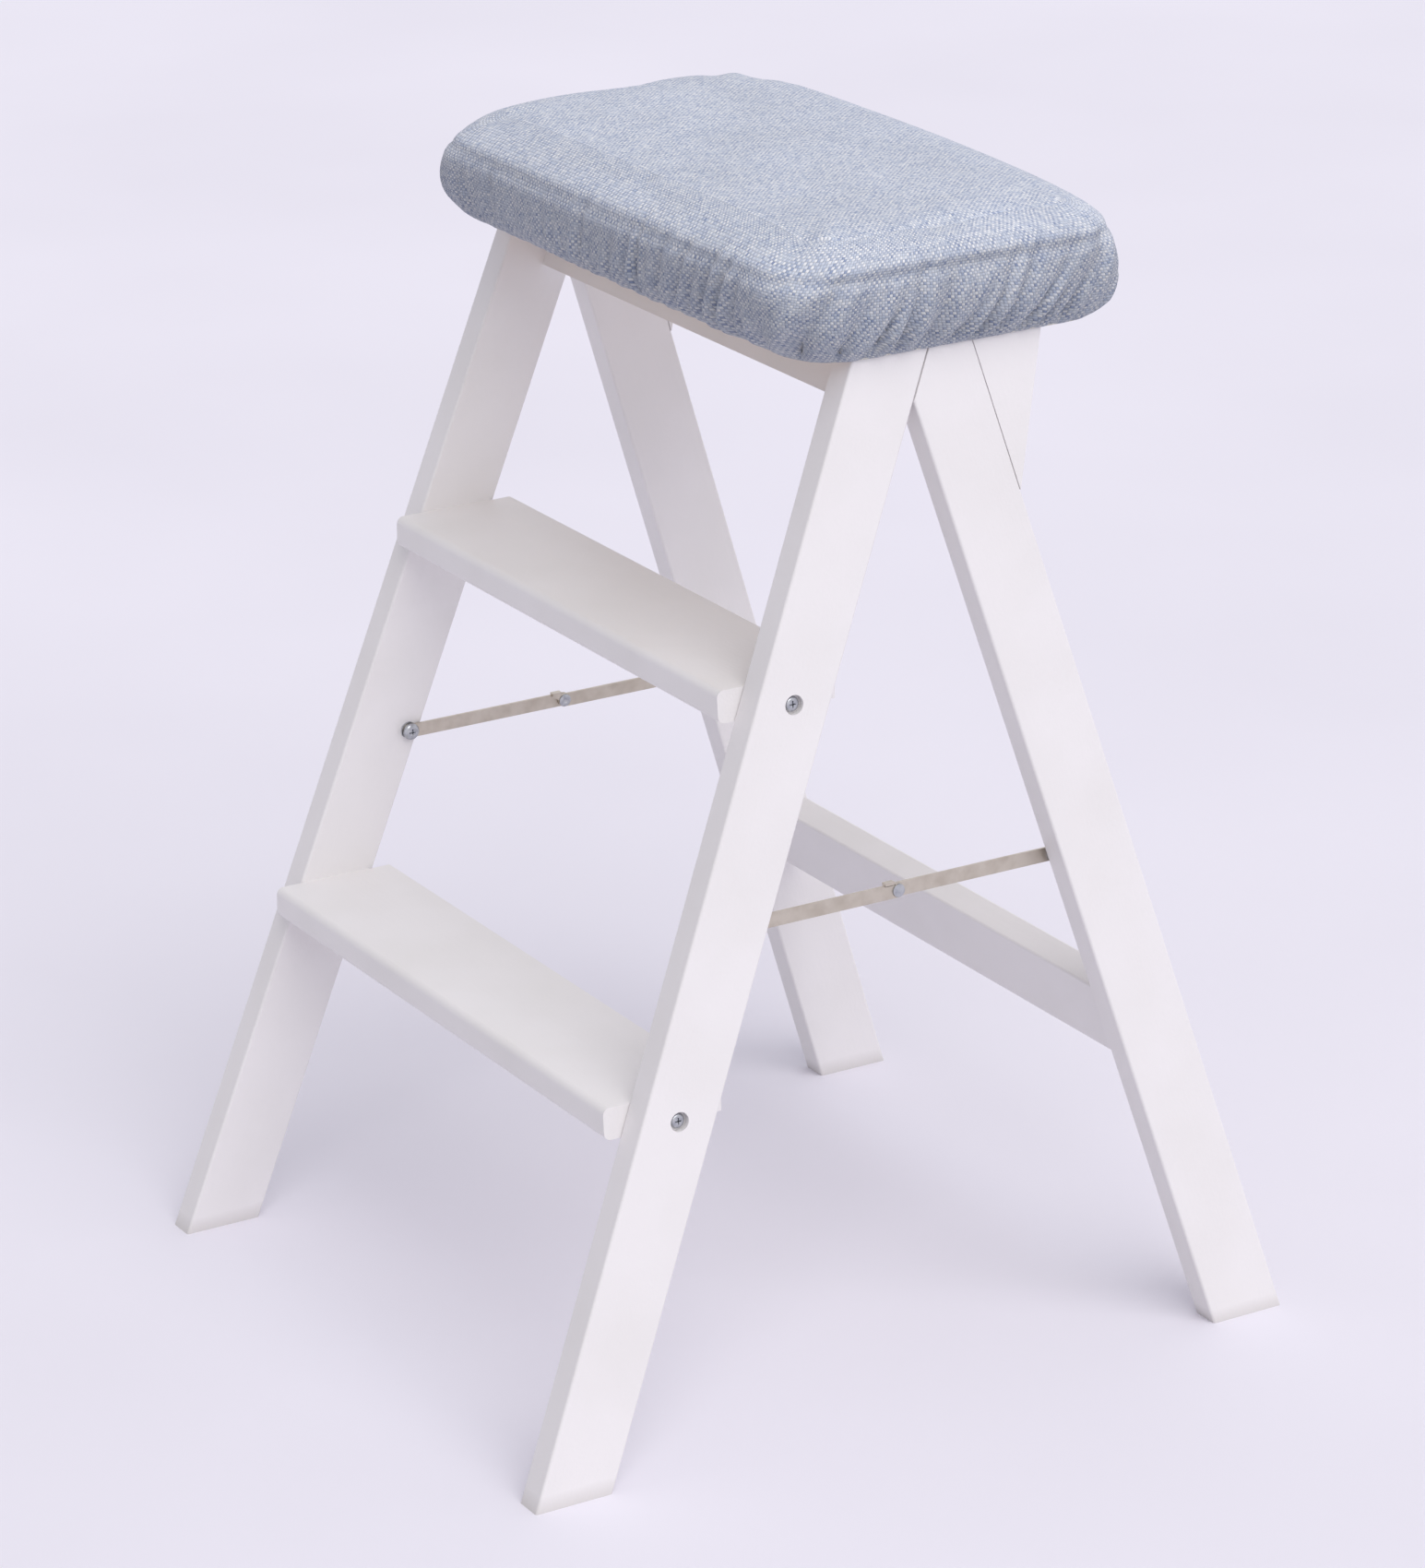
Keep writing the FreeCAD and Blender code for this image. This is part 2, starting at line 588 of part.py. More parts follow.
# Treads: boards between the stiles, rounded at the front and relieved at the rear ends
for level, top in TREADS:
    under = f"({top} - Sizes.BoardThickness)"
    middle = f"({top} - Sizes.BoardThickness / 2)"
    front = f"({stile_front(top)} - Sizes.TreadNose)"
    rear = f"({front} + Sizes.TreadDepth)"
    tread = cross_member(
        f"tread_{level}_blank", ((front, under), (rear, under), (rear, top), (front, top)), under, top)
    relief = plane_sketch(tread, "XY_Plane", f"tread_{level}_relief")
    for sign in (-1, 1):
        inner = f"{sign} * ({inner_face(top)} - Sizes.TreadRelief)"
        outline(relief, (
            (inner, stile_rear(middle)),
            (inner, f"{rear} + 10"),
            (f"{sign} * Sizes.BaseWidth", f"{rear} + 10"),
            (f"{sign} * Sizes.BaseWidth", stile_rear(middle)),
        ))
    pocket_through(tread, relief)
    nose = value(front)
    round_edges(
        tread, "Sizes.TreadNoseRound",
        lambda run, place: abs(run.x) > size("BaseWidth") / 2 and abs(place.y - nose) < 1)
    bored(tread, bores[f"tread_{level}"], f"tread_{level}")

# Hinge rails: one under the seat between the stiles, one between the heads of the legs
SEAM_AT = f"(Sizes.ApexY + Sizes.FrontRise * ({{0}} - Sizes.ApexHeight))"


def hinge_rail(name, front, rear, top):
    """Rail that leans with the seam; front and rear are distances behind the seam, along Y."""
    corners = []
    for offset, height in ((front, "low"), (rear, "low"), (rear, "high"), (front, "high")):
        level = "Sizes.RailUnderside" if height == "low" else top
        corners.append((f"{SEAM_AT.format(level)} + {offset}", level))
    rail = cross_member(name + "_blank", corners, "Sizes.RailUnderside", top)
    return bored(rail, bores[name], name)


hinge_rail("hinge_rail_front", "(-Sizes.RailRun)", "0", "Sizes.FrameHeight")
hinge_rail("hinge_rail_rear", "Sizes.SeamRun", "(Sizes.SeamRun + Sizes.RailRun)", "Sizes.LegTop")

# Crossbar: lies in line with the legs
crossbar_corners = []
for drop, depth in (
    ("Sizes.CrossbarDrop", "Sizes.CrossbarInset"),
    ("Sizes.CrossbarDrop", "(Sizes.CrossbarInset + Sizes.BoardThickness)"),
    ("(Sizes.CrossbarDrop + Sizes.CrossbarWidth)", "(Sizes.CrossbarInset + Sizes.BoardThickness)"),
    ("(Sizes.CrossbarDrop + Sizes.CrossbarWidth)", "Sizes.CrossbarInset"),
):
    crossbar_corners.append((
        f"Sizes.ApexY + {drop} * sin(Sizes.RearLean) + {depth} * cos(Sizes.RearLean)",
        f"Sizes.ApexHeight - {drop} * cos(Sizes.RearLean) + {depth} * sin(Sizes.RearLean)",
    ))
crossbar = cross_member("crossbar_blank", crossbar_corners, "0", "Sizes.ApexHeight")
round_edges(crossbar, "Sizes.EdgeEase", lambda run, middle: abs(run.x) > size("BaseWidth") / 2)
bored(crossbar, bores["crossbar"], "crossbar")

# Butt hinges: leaves flat on the undersides of the rails, with three rolled knuckles on one pin
KNUCKLES = 3
LEAF_STEP = 3.4
LEAF_NECK = 0.9


def hinge_leaf(name, side, sign, own):
    """Leaf that reaches to -Y or +Y and carries its own share of the knuckles."""
    body = new_body(name + "_blank", (
        ("x", f"{side} * Sizes.HingeSpacing / 2"), ("y", "Sizes.PivotY"), ("z", "Sizes.PivotZ"),
    ))
    plate = plane_sketch(body, "YZ_Plane", name + "_plate")
    low = "(Sizes.LeafTop - Sizes.LeafThickness)"
    outline(plate, (
        (f"{sign} * Sizes.LeafReach", low),
        (f"{sign} * Sizes.LeafReach", "Sizes.LeafTop"),
        (f"{sign} * {LEAF_STEP}", "Sizes.LeafTop"),
        (f"{sign} * {LEAF_NECK}", "Sizes.LeafTop - Sizes.RunningGap - 0.2"),
        (f"{sign} * {LEAF_NECK}", low),
    ))
    pad(body, plate, "Sizes.LeafLength", midplane=True)
    barrel = plane_sketch(body, "YZ_Plane", name + "_barrel")
    circle(barrel, "0", "0", "Sizes.BarrelDiameter")
    pad(body, barrel, "Sizes.LeafLength", midplane=True)
    gaps = plane_sketch(body, "XY_Plane", name + "_gaps")
    for knuckle in range(KNUCKLES):
        if knuckle in own:
            continue
        play_low = "0" if knuckle == 0 else "Sizes.RunningGap / 2"
        play_high = "0" if knuckle == KNUCKLES - 1 else "Sizes.RunningGap / 2"
        start = f"Sizes.LeafLength * {knuckle / KNUCKLES - 0.5} - {play_low}"
        end = f"Sizes.LeafLength * {(knuckle + 1) / KNUCKLES - 0.5} + {play_high}"
        back = f"{sign} * (Sizes.BarrelDiameter / 2 + 2 * Sizes.RunningGap)"
        ahead = f"{-sign} * Sizes.BarrelDiameter"
        outline(gaps, ((start, back), (end, back), (end, ahead), (start, ahead)))
    pocket_through(body, gaps)
    bore = plane_sketch(body, "YZ_Plane", name + "_bore")
    circle(bore, "0", "0", "Sizes.PinDiameter + 2 * Sizes.PinClearance")
    pocket_through(body, bore)
    return bored(body, bores[name], name)


for side_name, side in SIDES:
    hinge_leaf(f"hinge_leaf_front_{side_name}", side, -1, (0, 2))
    hinge_leaf(f"hinge_leaf_rear_{side_name}", side, 1, (1,))
    pin = doc.addObject("Part::Cylinder", f"hinge_pin_{side_name}")
    pin.setExpression("Radius", "Sizes.PinDiameter / 2")
    pin.setExpression("Height", "Sizes.LeafLength")
    pin.Placement = Placement(Vector(), Rotation(Vector(0, 1, 0), 90))
    pin.setExpression("Placement.Base.x", f"({side} * Sizes.HingeSpacing - Sizes.LeafLength) / 2")
    pin.setExpression("Placement.Base.y", "Sizes.PivotY")
    pin.setExpression("Placement.Base.z", "Sizes.PivotZ")
    keep(pin, f"hinge_pin_{side_name}")

# Stays: two flat links on each side, riveted in the middle, that lie straight when the stool is open


def stay_link(name, side, base_y, layer, sign, tab):
    """Link from an end screw to the rivet; sign is +1 where the rivet lies behind the screw."""
    body = new_body(name, (
        ("x", f"{side} * {inner_face('Sizes.StayHeight')}"), ("y", base_y), ("z", "Sizes.StayHeight"),
    ))
    inward = f"({layer})"
    blank = side_sketch(body, side, name + "_bar", inward)
    half = "Sizes.StayWidth / 2"
    rivet = f"{sign} * Sizes.LinkLength"
    outline(blank, (("0", half), ("0", f"-{half}"), (rivet, f"-{half}"), (rivet, half)))
    pad(body, blank, "Sizes.StayThickness", backwards=side > 0)
    for end, middle in (("screw", "0"), ("rivet", rivet)):
        eye = side_sketch(body, side, f"{name}_{end}_eye", inward)
        circle(eye, middle, "0", "Sizes.StayWidth")
        pad(body, eye, "Sizes.StayThickness", backwards=side > 0)
    near = f"({rivet} - Sizes.TabStart)"
    far = f"({rivet} - Sizes.TabStart - Sizes.TabLength)"
    if tab:
        neck = side_sketch(body, side, name + "_neck", inward)
        rise = f"({half} - Sizes.NotchDepth + Sizes.RunningGap)"
        crest = f"({half} + Sizes.StayThickness)"
        outline(neck, ((near, "0"), (near, crest), (far, crest), (far, rise), (f"{near} - 1", "0")))
        pad(body, neck, "Sizes.StayThickness", backwards=side > 0)
        lug = side_sketch(body, side, name + "_tab", "Sizes.StayStandoff")
        outline(lug, ((near, rise), (near, crest), (far, crest), (far, rise)))
        pad(body, lug, "Sizes.RearLayer - Sizes.StayStandoff + Sizes.StayThickness", backwards=side > 0)
    else:
        notch = side_sketch(body, side, name + "_notch", inward)
        floor = f"({half} - Sizes.NotchDepth)"
        slack = "Sizes.RunningGap"
        outline(notch, (
            (f"{near} + {slack}", floor), (f"{near} + {slack}", "Sizes.StayWidth"),
            (f"{far} - {slack}", "Sizes.StayWidth"), (f"{far} - {slack}", floor),
        ))
        pocket_through(body, notch)
    for end, middle, bore in (("screw", "0", "StayShoulder"), ("rivet", rivet, "RivetDiameter")):
        hole = side_sketch(body, side, f"{name}_{end}_hole", inward)
        circle(hole, middle, "0", f"Sizes.{bore} + 2 * Sizes.PinClearance")
        pocket_through(body, hole)
    return keep(body, name)


for side_name, side in SIDES:
    stay_link(f"stay_front_link_{side_name}", side, "Sizes.StayFrontY", "Sizes.StayStandoff", 1, False)
    stay_link(f"stay_rear_link_{side_name}", side, "Sizes.StayRearY", "Sizes.RearLayer", -1, True)
    head = size("RivetHeadHeight")
    low = size("StayStandoff") - head - size("RunningGap") / 2
    high = size("RearLayer") + size("StayThickness") + size("RunningGap") / 2
    stem = size("RivetDiameter") / 2
    wide = size("RivetHead") / 2
    rivet = doc.addObject("Part::Feature", f"stay_rivet_{side_name}")
    rivet.Shape = turned([
        (wide, low), (wide, low + head), (stem, low + head), (stem, high), (wide, high), (wide / 2, high + head),
    ], 16)
    middle = (size("StayFrontY") + size("StayRearY")) / 2
    place = on_wood(side, middle, size("StayHeight"))
    rivet.Placement = Placement(place, Rotation(Vector(0, 0, 1), -outward(side)))
    keep(rivet, f"stay_rivet_{side_name}")

# Seat: board, foam pad and woven cover with an elastic hem


def plan_ring(outset, height):
    """Rounded rectangle around the seat board, moved out by outset, as a level wire."""
    half = size("SeatHalf") + outset
    front = size("SeatFront") - outset
    rear = size("SeatRear") + outset
    radius = size("SeatCorner") + outset
    corners = (
        (half, rear, -1, -1, 0), (-half, rear, 1, -1, 90), (-half, front, 1, 1, 180), (half, front, -1, 1, 270),
    )
    arcs = []
    for across, along, to_x, to_y, start in corners:
        middle = Vector(across + to_x * radius, along + to_y * radius, height)
        points = []
        for turn in (0, 45, 90):
            angle = math.radians(start + turn)
            points.append(middle + Vector(math.cos(angle), math.sin(angle), 0) * radius)
        arcs.append(points)
    edges = []
    for index, points in enumerate(arcs):
        edges.append(Part.Arc(*points).toShape())
        following = arcs[(index + 1) % len(arcs)]
        edges.append(Part.makeLine(points[2], following[0]))
    return Part.Wire(edges)


def plan_block(outset, low, high):
    """Upright block with the rounded outline of the seat."""
    return Part.Face(plan_ring(outset, low)).extrude(Vector(0, 0, high - low))


# Section of the cushion: shares of the height from hem to crown, and distances outside the edge of the
# seat board as shares of the bulge. It is drawn in at the hem, full in the middle of the sides and
# rounded into the crown.
CUSHION_SECTION = (
    (0, -0.045), (0.045, 0.23), (0.15, 0.7), (0.32, 0.98), (0.6, 0.96), (0.79, 0.66), (0.89, -0.1), (0.955, -1.1),
)
FOAM_SECTION = CUSHION_SECTION[:1] + CUSHION_SECTION[1::2]
CORNER_CORE = 3


def cushion_form(inset, section):
    """Crowned cushion, drawn in under the board, made smaller all round by inset."""
    low = size("HemBottom") + inset
    high = size("CushionTop") - inset
    corner = size("SeatCorner")
    points = [Vector(CORNER_CORE, 0, low)]
    for share, outset in section:
        points.append(Vector(corner + outset * size("CushionBulge") - inset, 0, low + share * (high - low)))
    points += [Vector(CORNER_CORE, 0, high), points[0]]
    profile = Part.Face(Part.makePolygon(points))

    half = size("SeatHalf") - corner
    front = size("SeatFront") + corner
    rear = size("SeatRear") - corner
    stations = (
        (Vector(half, front, 0), 0, rear - front), (Vector(half, rear, 0), 90, 2 * half),
        (Vector(-half, rear, 0), 180, rear - front), (Vector(-half, front, 0), 270, 2 * half),
    )
    form = plan_block(CORNER_CORE - corner, low, high)
    for centre, turn, run in stations:
        side_piece = profile.extrude(Vector(0, run, 0))
        corner_piece = profile.revolve(Vector(), Vector(0, 0, 1), 90)
        corner_piece.translate(Vector(0, run, 0))
        for piece in (side_piece, corner_piece):
            piece.rotate(Vector(), Vector(0, 0, 1), turn)
            piece.translate(centre)
            form = form.fuse(piece)
    return form.removeSplitter()


board_blank = doc.addObject("Part::Feature", "seat_board_blank")
board_blank.Shape = plan_block(0, size("FrameHeight"), size("SeatTop"))
bored(board_blank, bores["seat_board"], "seat_board")

skin = size("CoverThickness")
above_hem = plan_block(2 * size("CushionBulge"), size("FrameHeight"), size("CushionTop") + 1)
filling = cushion_form(skin, FOAM_SECTION).common(above_hem)
foam = doc.addObject("Part::Feature", "seat_pad")
foam.Shape = cushion_form(skin + size("RunningGap") / 2, FOAM_SECTION).common(above_hem).cut(board_blank.Shape)
keep(foam, "seat_pad")

hem_wall = (size("HemTurn") - size("ElasticWidth")) / 2
elastic_inset = -size("HemTurn") + hem_wall + size("ElasticWidth") / 2
elastic_height = size("FrameHeight") - size("HemDrop") / 2


def elastic_band(play):
    """Square band that follows the hem, made larger all round by play."""
    half = size("ElasticWidth") / 2 + play
    levels = (elastic_height - half, elastic_height + half)
    return plan_block(elastic_inset + half, *levels).cut(plan_block(elastic_inset - half, *levels))


elastic = doc.addObject("Part::Feature", "cover_elastic")
elastic.Shape = elastic_band(0)
keep(elastic, "cover_elastic")

cover = doc.addObject("Part::Feature", "seat_cover")
opening = plan_block(-size("HemTurn"), size("HemBottom") - 1, size("FrameHeight") + 1)
channel = elastic_band(play)
cover.Shape = cushion_form(0, CUSHION_SECTION).cut(filling).cut(board_blank.Shape).cut(opening).cut(channel)
keep(cover, "seat_cover")

# Check and write every piece
doc.recompute()
for thing in doc.Objects:
    if {"Invalid", "Error"} & set(thing.State):
        raise ValueError(f"{thing.Label} is {thing.State}")
os.makedirs("parts", exist_ok=True)
for thing in nodes:
    if thing.Shape.isNull() or not thing.Shape.isValid() or not thing.Shape.Solids:
        raise ValueError(thing.Label + " has no valid shape")
for thing in nodes:
    thing.Shape.exportStep(f"parts/{thing.Label}.step")
for alias in ("ToeY", "PivotY", "PivotZ", "FoldAngle", "StayFrontY", "StayRearY", "LinkLength", "CushionTop"):
    print(alias, round(size(alias), 3))
print(len(nodes), "nodes")
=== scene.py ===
import math
import random

import bmesh
import bpy
import numpy as np
from mathutils import Matrix, Vector, noise


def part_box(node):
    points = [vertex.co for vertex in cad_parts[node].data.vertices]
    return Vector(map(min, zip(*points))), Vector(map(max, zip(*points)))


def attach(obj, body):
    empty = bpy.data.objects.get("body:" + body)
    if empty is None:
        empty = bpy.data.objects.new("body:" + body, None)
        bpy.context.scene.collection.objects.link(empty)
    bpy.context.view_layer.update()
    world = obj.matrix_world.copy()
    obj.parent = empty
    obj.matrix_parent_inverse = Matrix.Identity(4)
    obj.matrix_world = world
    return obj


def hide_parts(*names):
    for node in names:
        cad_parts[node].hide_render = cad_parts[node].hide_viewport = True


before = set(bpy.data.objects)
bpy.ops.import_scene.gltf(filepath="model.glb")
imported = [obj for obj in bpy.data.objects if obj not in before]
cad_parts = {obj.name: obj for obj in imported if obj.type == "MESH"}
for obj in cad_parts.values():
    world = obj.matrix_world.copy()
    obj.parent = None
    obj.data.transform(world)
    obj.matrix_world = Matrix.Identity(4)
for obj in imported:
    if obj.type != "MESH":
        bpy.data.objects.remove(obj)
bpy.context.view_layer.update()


# Painted boards: the frame of the stool is planed pine, 18 mm thick, with its edges eased by hand.
# White acrylic lacquer was sprayed over it, so the wood shows only as faint long ridges and the
# lacquer has the slight orange peel of a spray gun. The feet turn a little grey in their lowest 4 to 14 mm.
PAINT = "#EAE7E7"
PAINT_THIN = "#E6E3E2"
FOOT_GREY = "#BDB8B4"
SPLAY = math.tan(math.radians(3.125))
FRONT_LEAN = math.tan(math.radians(20.8))
REAR_LEAN = math.tan(math.radians(17.3))


def linear(code):
    """Linear colour of an sRGB hex code."""
    parts = [int(code[i:i + 2], 16) / 255 for i in (1, 3, 5)]
    return tuple(c / 12.92 if c <= 0.04045 else ((c + 0.055) / 1.055) ** 2.4 for c in parts) + (1.0,)


def add(tree, kind, feeds=(), stops=(), **settings):
    """New shader node; feeds gives its sockets a value or the output that feeds them, and stops gives the
    places and hex codes of a colour ramp."""
    node = tree.nodes.new("ShaderNode" + kind)
    for name, setting in settings.items():
        setattr(node, name, setting)
    for number, (at, code) in enumerate(stops):
        stop = node.color_ramp.elements[number]
        stop.position, stop.color = at, linear(code)
    for name, feed in dict(feeds).items():
        if isinstance(feed, bpy.types.NodeSocket):
            tree.links.new(feed, node.inputs[name])
        else:
            node.inputs[name].default_value = feed
    return node


def new_finish(name):
    """New material, its node tree and its shader."""
    material = bpy.data.materials.new(name)
    material.use_nodes = True
    return material, material.node_tree, material.node_tree.nodes["Principled BSDF"]


def give(material, *pieces):
    """The pieces, CAD nodes by name or new ones, get this material alone."""
    for piece in pieces:
        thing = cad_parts[piece] if isinstance(piece, str) else piece
        thing.data.materials.clear()
        thing.data.materials.append(material)


def white_lacquer(name, grain):
    """Satin lacquer over planed pine whose grain runs along the direction given."""
    material, tree, shader = new_finish(name)
    place = add(tree, "TexCoord").outputs["Object"]
    turn = Vector(grain).rotation_difference(Vector((1, 0, 0))).to_euler()
    along = add(tree, "Mapping", {"Vector": place, "Rotation": turn}).outputs["Vector"]
    ridges_at = add(tree, "Mapping", {"Vector": along, "Scale": (1000 / 90, 1000 / 2.2, 1000 / 2.2)})
    ridges = add(tree, "TexNoise", {"Vector": ridges_at.outputs["Vector"], "Scale": 1, "Detail": 3})
    peel = add(tree, "TexNoise", {"Vector": place, "Scale": 1000 / 1.6, "Detail": 1})
    cloud = add(tree, "TexNoise", {"Vector": place, "Scale": 1000 / 70, "Detail": 2}).outputs["Fac"]
    tint = add(tree, "ValToRGB", {"Fac": cloud}, stops=((0.3, PAINT_THIN), (0.6, PAINT)))
    height = add(tree, "SeparateXYZ", {"Vector": place}).outputs["Z"]
    ragged = add(tree, "MapRange", {"Value": cloud, "To Min": 0.004, "To Max": 0.014}).outputs["Result"]
    # The lowest few millimetres of each piece are mixed up to halfway towards grey.
    lowest_grey_share = add(tree, "MapRange", {"Value": height, "From Max": ragged, "To Min": 0.5, "To Max": 0})
    coat = add(tree, "Mix", {
        0: lowest_grey_share.outputs["Result"], 6: tint.outputs["Color"], 7: linear(FOOT_GREY),
    }, data_type="RGBA")
    tree.links.new(coat.outputs[2], shader.inputs["Base Color"])
    gloss = add(tree, "MapRange", {"Value": cloud, "To Min": 0.38, "To Max": 0.52})
    tree.links.new(gloss.outputs["Result"], shader.inputs["Roughness"])
    relief = add(tree, "Math", {0: ridges.outputs["Fac"], 1: peel.outputs["Fac"]}, operation="ADD")
    bump = add(tree, "Bump", {"Height": relief.outputs["Value"], "Strength": 0.5, "Distance": 0.00012})
    tree.links.new(bump.outputs["Normal"], shader.inputs["Normal"])
    return material


for side_name, side in (("left", -1), ("right", 1)):
    up_stile = (-side * SPLAY, FRONT_LEAN, 1)
    up_leg = (-side * SPLAY, -REAR_LEAN, 1)
    give(white_lacquer(f"lacquer_stile_{side_name}", up_stile), f"stile_{side_name}")
    give(white_lacquer(f"lacquer_leg_{side_name}", up_leg), f"leg_{side_name}", f"wedge_{side_name}")


# Treads, rails and crossbar: the same lacquered pine, with the grain across the stool from side to
# side. A screw holds each end of a tread, and dowels hold the ends of the rails and the crossbar.
give(
    white_lacquer("lacquer_across", (1, 0, 0)),
    "tread_lower", "tread_upper", "hinge_rail_front", "hinge_rail_rear", "crossbar",
)


# Dowels: turned beech, hidden in the joints between the rails and the sides. Beech is pale
# pinkish brown with short dark flecks along the grain.
BEECH = "#C9A27E"
BEECH_FLECK = "#9C7350"

beech, tree, shader = new_finish("turned_beech")
place = add(tree, "TexCoord").outputs["Object"]
fleck_at = add(tree, "Mapping", {"Vector": place, "Scale": (1000 / 4, 1000 / 0.5, 1000 / 0.5)})
fleck = add(tree, "TexNoise", {"Vector": fleck_at.outputs["Vector"], "Scale": 1, "Detail": 2})
tint = add(tree, "ValToRGB", {"Fac": fleck.outputs["Fac"]}, stops=((0.38, BEECH_FLECK), (0.5, BEECH)))
tree.links.new(tint.outputs["Color"], shader.inputs["Base Color"])
bump = add(tree, "Bump", {"Height": fleck.outputs["Fac"], "Strength": 0.3, "Distance": 0.0002})
tree.links.new(bump.outputs["Normal"], shader.inputs["Normal"])
shader.inputs["Roughness"].default_value = 0.65
give(beech, "rail_dowels_front", "rail_dowels_rear", "crossbar_dowels")


# Wood screws: zinc-plated steel, bright and a little cloudy, with a cross recess. One holds each end
# of each tread and sits in a counterbore in the stile; two hold each wedge. The rest hold the hinge
# leaves and the seat board.
ZINC = "#C4C6C9"
ZINC_CLOUD = "#A9ACB2"
SHARP_ANGLE = 40
BACK_OF_WEDGE = (0, 1, -0.19)

# A screw's profile runs from its point to its head, as radii and heights from the top of the CAD head.
TREAD_SCREW = (
    (0.5, -45), (2.1, -41), (2.2, -2.6), (4.2, -2.6), (4.25, -1.5), (3.9, -0.6), (3.1, -0.15), (2.0, 0),
)
WEDGE_SCREW = (
    (0.5, -50), (1.7, -46), (1.75, -2), (3.5, -2), (3.5, -0.6), (3.2, 0.2), (2.4, 0.7), (1.5, 0.8),
)

zinc, tree, shader = new_finish("bright_zinc_plate")
place = add(tree, "TexCoord").outputs["Object"]
cloud = add(tree, "TexNoise", {"Vector": place, "Scale": 1000 / 3, "Detail": 2}).outputs["Fac"]
tint = add(tree, "ValToRGB", {"Fac": cloud}, stops=((0.35, ZINC_CLOUD), (0.65, ZINC)))
tree.links.new(tint.outputs["Color"], shader.inputs["Base Color"])
shader.inputs["Metallic"].default_value = 1
gloss = add(tree, "MapRange", {"Value": cloud, "To Min": 0.24, "To Max": 0.42})
tree.links.new(gloss.outputs["Result"], shader.inputs["Roughness"])


def mesh_piece(name, build, smooth_angle=SHARP_ANGLE):
    """New mesh object; build gets an empty bmesh to fill, in metres."""
    shape = bmesh.new()
    build(shape)
    bmesh.ops.recalc_face_normals(shape, faces=shape.faces)
    mesh = bpy.data.meshes.new(name)
    shape.to_mesh(mesh)
    shape.free()
    mesh.shade_smooth()
    mesh.set_sharp_from_angle(angle=math.radians(smooth_angle))
    piece = bpy.data.objects.new(name, mesh)
    bpy.context.scene.collection.objects.link(piece)
    return piece


def lathe(shape, profile, steps=40):
    """Turned solid round Z from radius and height pairs in millimetres, from bottom to top."""
    rings = []
    for radius, height in profile:
        ring = []
        for step in range(steps):
            angle = 2 * math.pi * step / steps
            x, y = radius * math.cos(angle) / 1000, radius * math.sin(angle) / 1000
            ring.append(shape.verts.new((x, y, height / 1000)))
        rings.append(ring)
    for low, high in zip(rings, rings[1:]):
        for i in range(steps):
            shape.faces.new((low[i - 1], low[i], high[i], high[i - 1]))
    shape.faces.new(rings[0])
    shape.faces.new(rings[-1])


def cross_cutter(reach, depth, top):
    """Builder of the solid that cuts a cross recess, from just over the head's top to a blunt point."""
    def build(shape):
        ends = []
        for level, half_long, half_wide in (
            (top + 0.5, reach, 0.16 * reach), (top - depth, 0.3 * reach, 0.12 * reach),
        ):
            ring = []
            for quarter in range(4):
                turn = Matrix.Rotation(quarter * math.pi / 2, 3, "Z")
                for x, y in ((half_long, -half_wide), (half_long, half_wide), (half_wide, half_wide)):
                    ring.append(shape.verts.new(turn @ Vector((x, y, level)) / 1000))
            ends.append(ring)
            shape.faces.new(ring)
        upper, lower = ends
        for i in range(len(upper)):
            shape.faces.new((upper[i - 1], upper[i], lower[i], lower[i - 1]))
    return build


def cut_with(piece, build):
    """Takes the solid that build makes out of the piece."""
    tool = mesh_piece("recess_tool", build)
    cut = piece.modifiers.new("recess", "BOOLEAN")
    cut.object, cut.operation, cut.solver = tool, "DIFFERENCE", "EXACT"
    bpy.context.view_layer.update()
    done = bpy.data.meshes.new_from_object(piece.evaluated_get(bpy.context.evaluated_depsgraph_get()))
    piece.modifiers.clear()
    piece.data = done
    done.shade_smooth()
    done.set_sharp_from_angle(angle=math.radians(SHARP_ANGLE))
    bpy.data.objects.remove(tool)


def solids_of(node):
    """Corner points of each separate solid of a CAD node, as arrays."""
    shape = bmesh.new()
    shape.from_mesh(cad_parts[node].data)
    bmesh.ops.remove_doubles(shape, verts=shape.verts, dist=1e-6)
    left = set(shape.verts)
    while left:
        group, edge = set(), [left.pop()]
        while edge:
            corner = edge.pop()
            group.add(corner)
            for link in corner.link_edges:
                other = link.other_vert(corner)
                if other in left:
                    left.discard(other)
                    edge.append(other)
        yield np.array([v.co for v in group])
    shape.free()


def fasten(piece, points, out, body, node):
    """Zinc piece whose top goes where the CAD solid's corner points reach farthest in the direction out."""
    out = Vector(out).normalized()
    reaches = points @ np.array(out)
    top = points[reaches > reaches.max() - 1e-5].mean(0)
    piece.matrix_world = Matrix.Translation(top) @ out.to_track_quat("Z", "Y").to_matrix().to_4x4()
    give(zinc, piece)
    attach(piece, body)
    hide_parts(node)


def fit_screws(node, body, out_of, profile, reach, depth):
    """A detailed screw in the place of each one of a CAD node. out_of gives the way that its head faces
    on the left (-1) and right (1) side; reach and depth are those of the cross recess."""
    for index, points in enumerate(solids_of(node)):
        piece = mesh_piece(f"{node}_{index}", lambda shape: lathe(shape, profile))
        cut_with(piece, cross_cutter(reach, depth, profile[-1][1]))
        fasten(piece, points, out_of(1 if points[:, 0].mean() > 0 else -1), body, node)


def out_of_side(side):
    """Way that the outer face of a stile looks."""
    return (side, 0, SPLAY)


fit_screws("tread_screws", "front_frame", out_of_side, TREAD_SCREW, 2.3, 1.9)
fit_screws("wedge_screws", "rear_frame", lambda side: BACK_OF_WEDGE, WEDGE_SCREW, 1.9, 1.6)
give(zinc, "seat_screws")


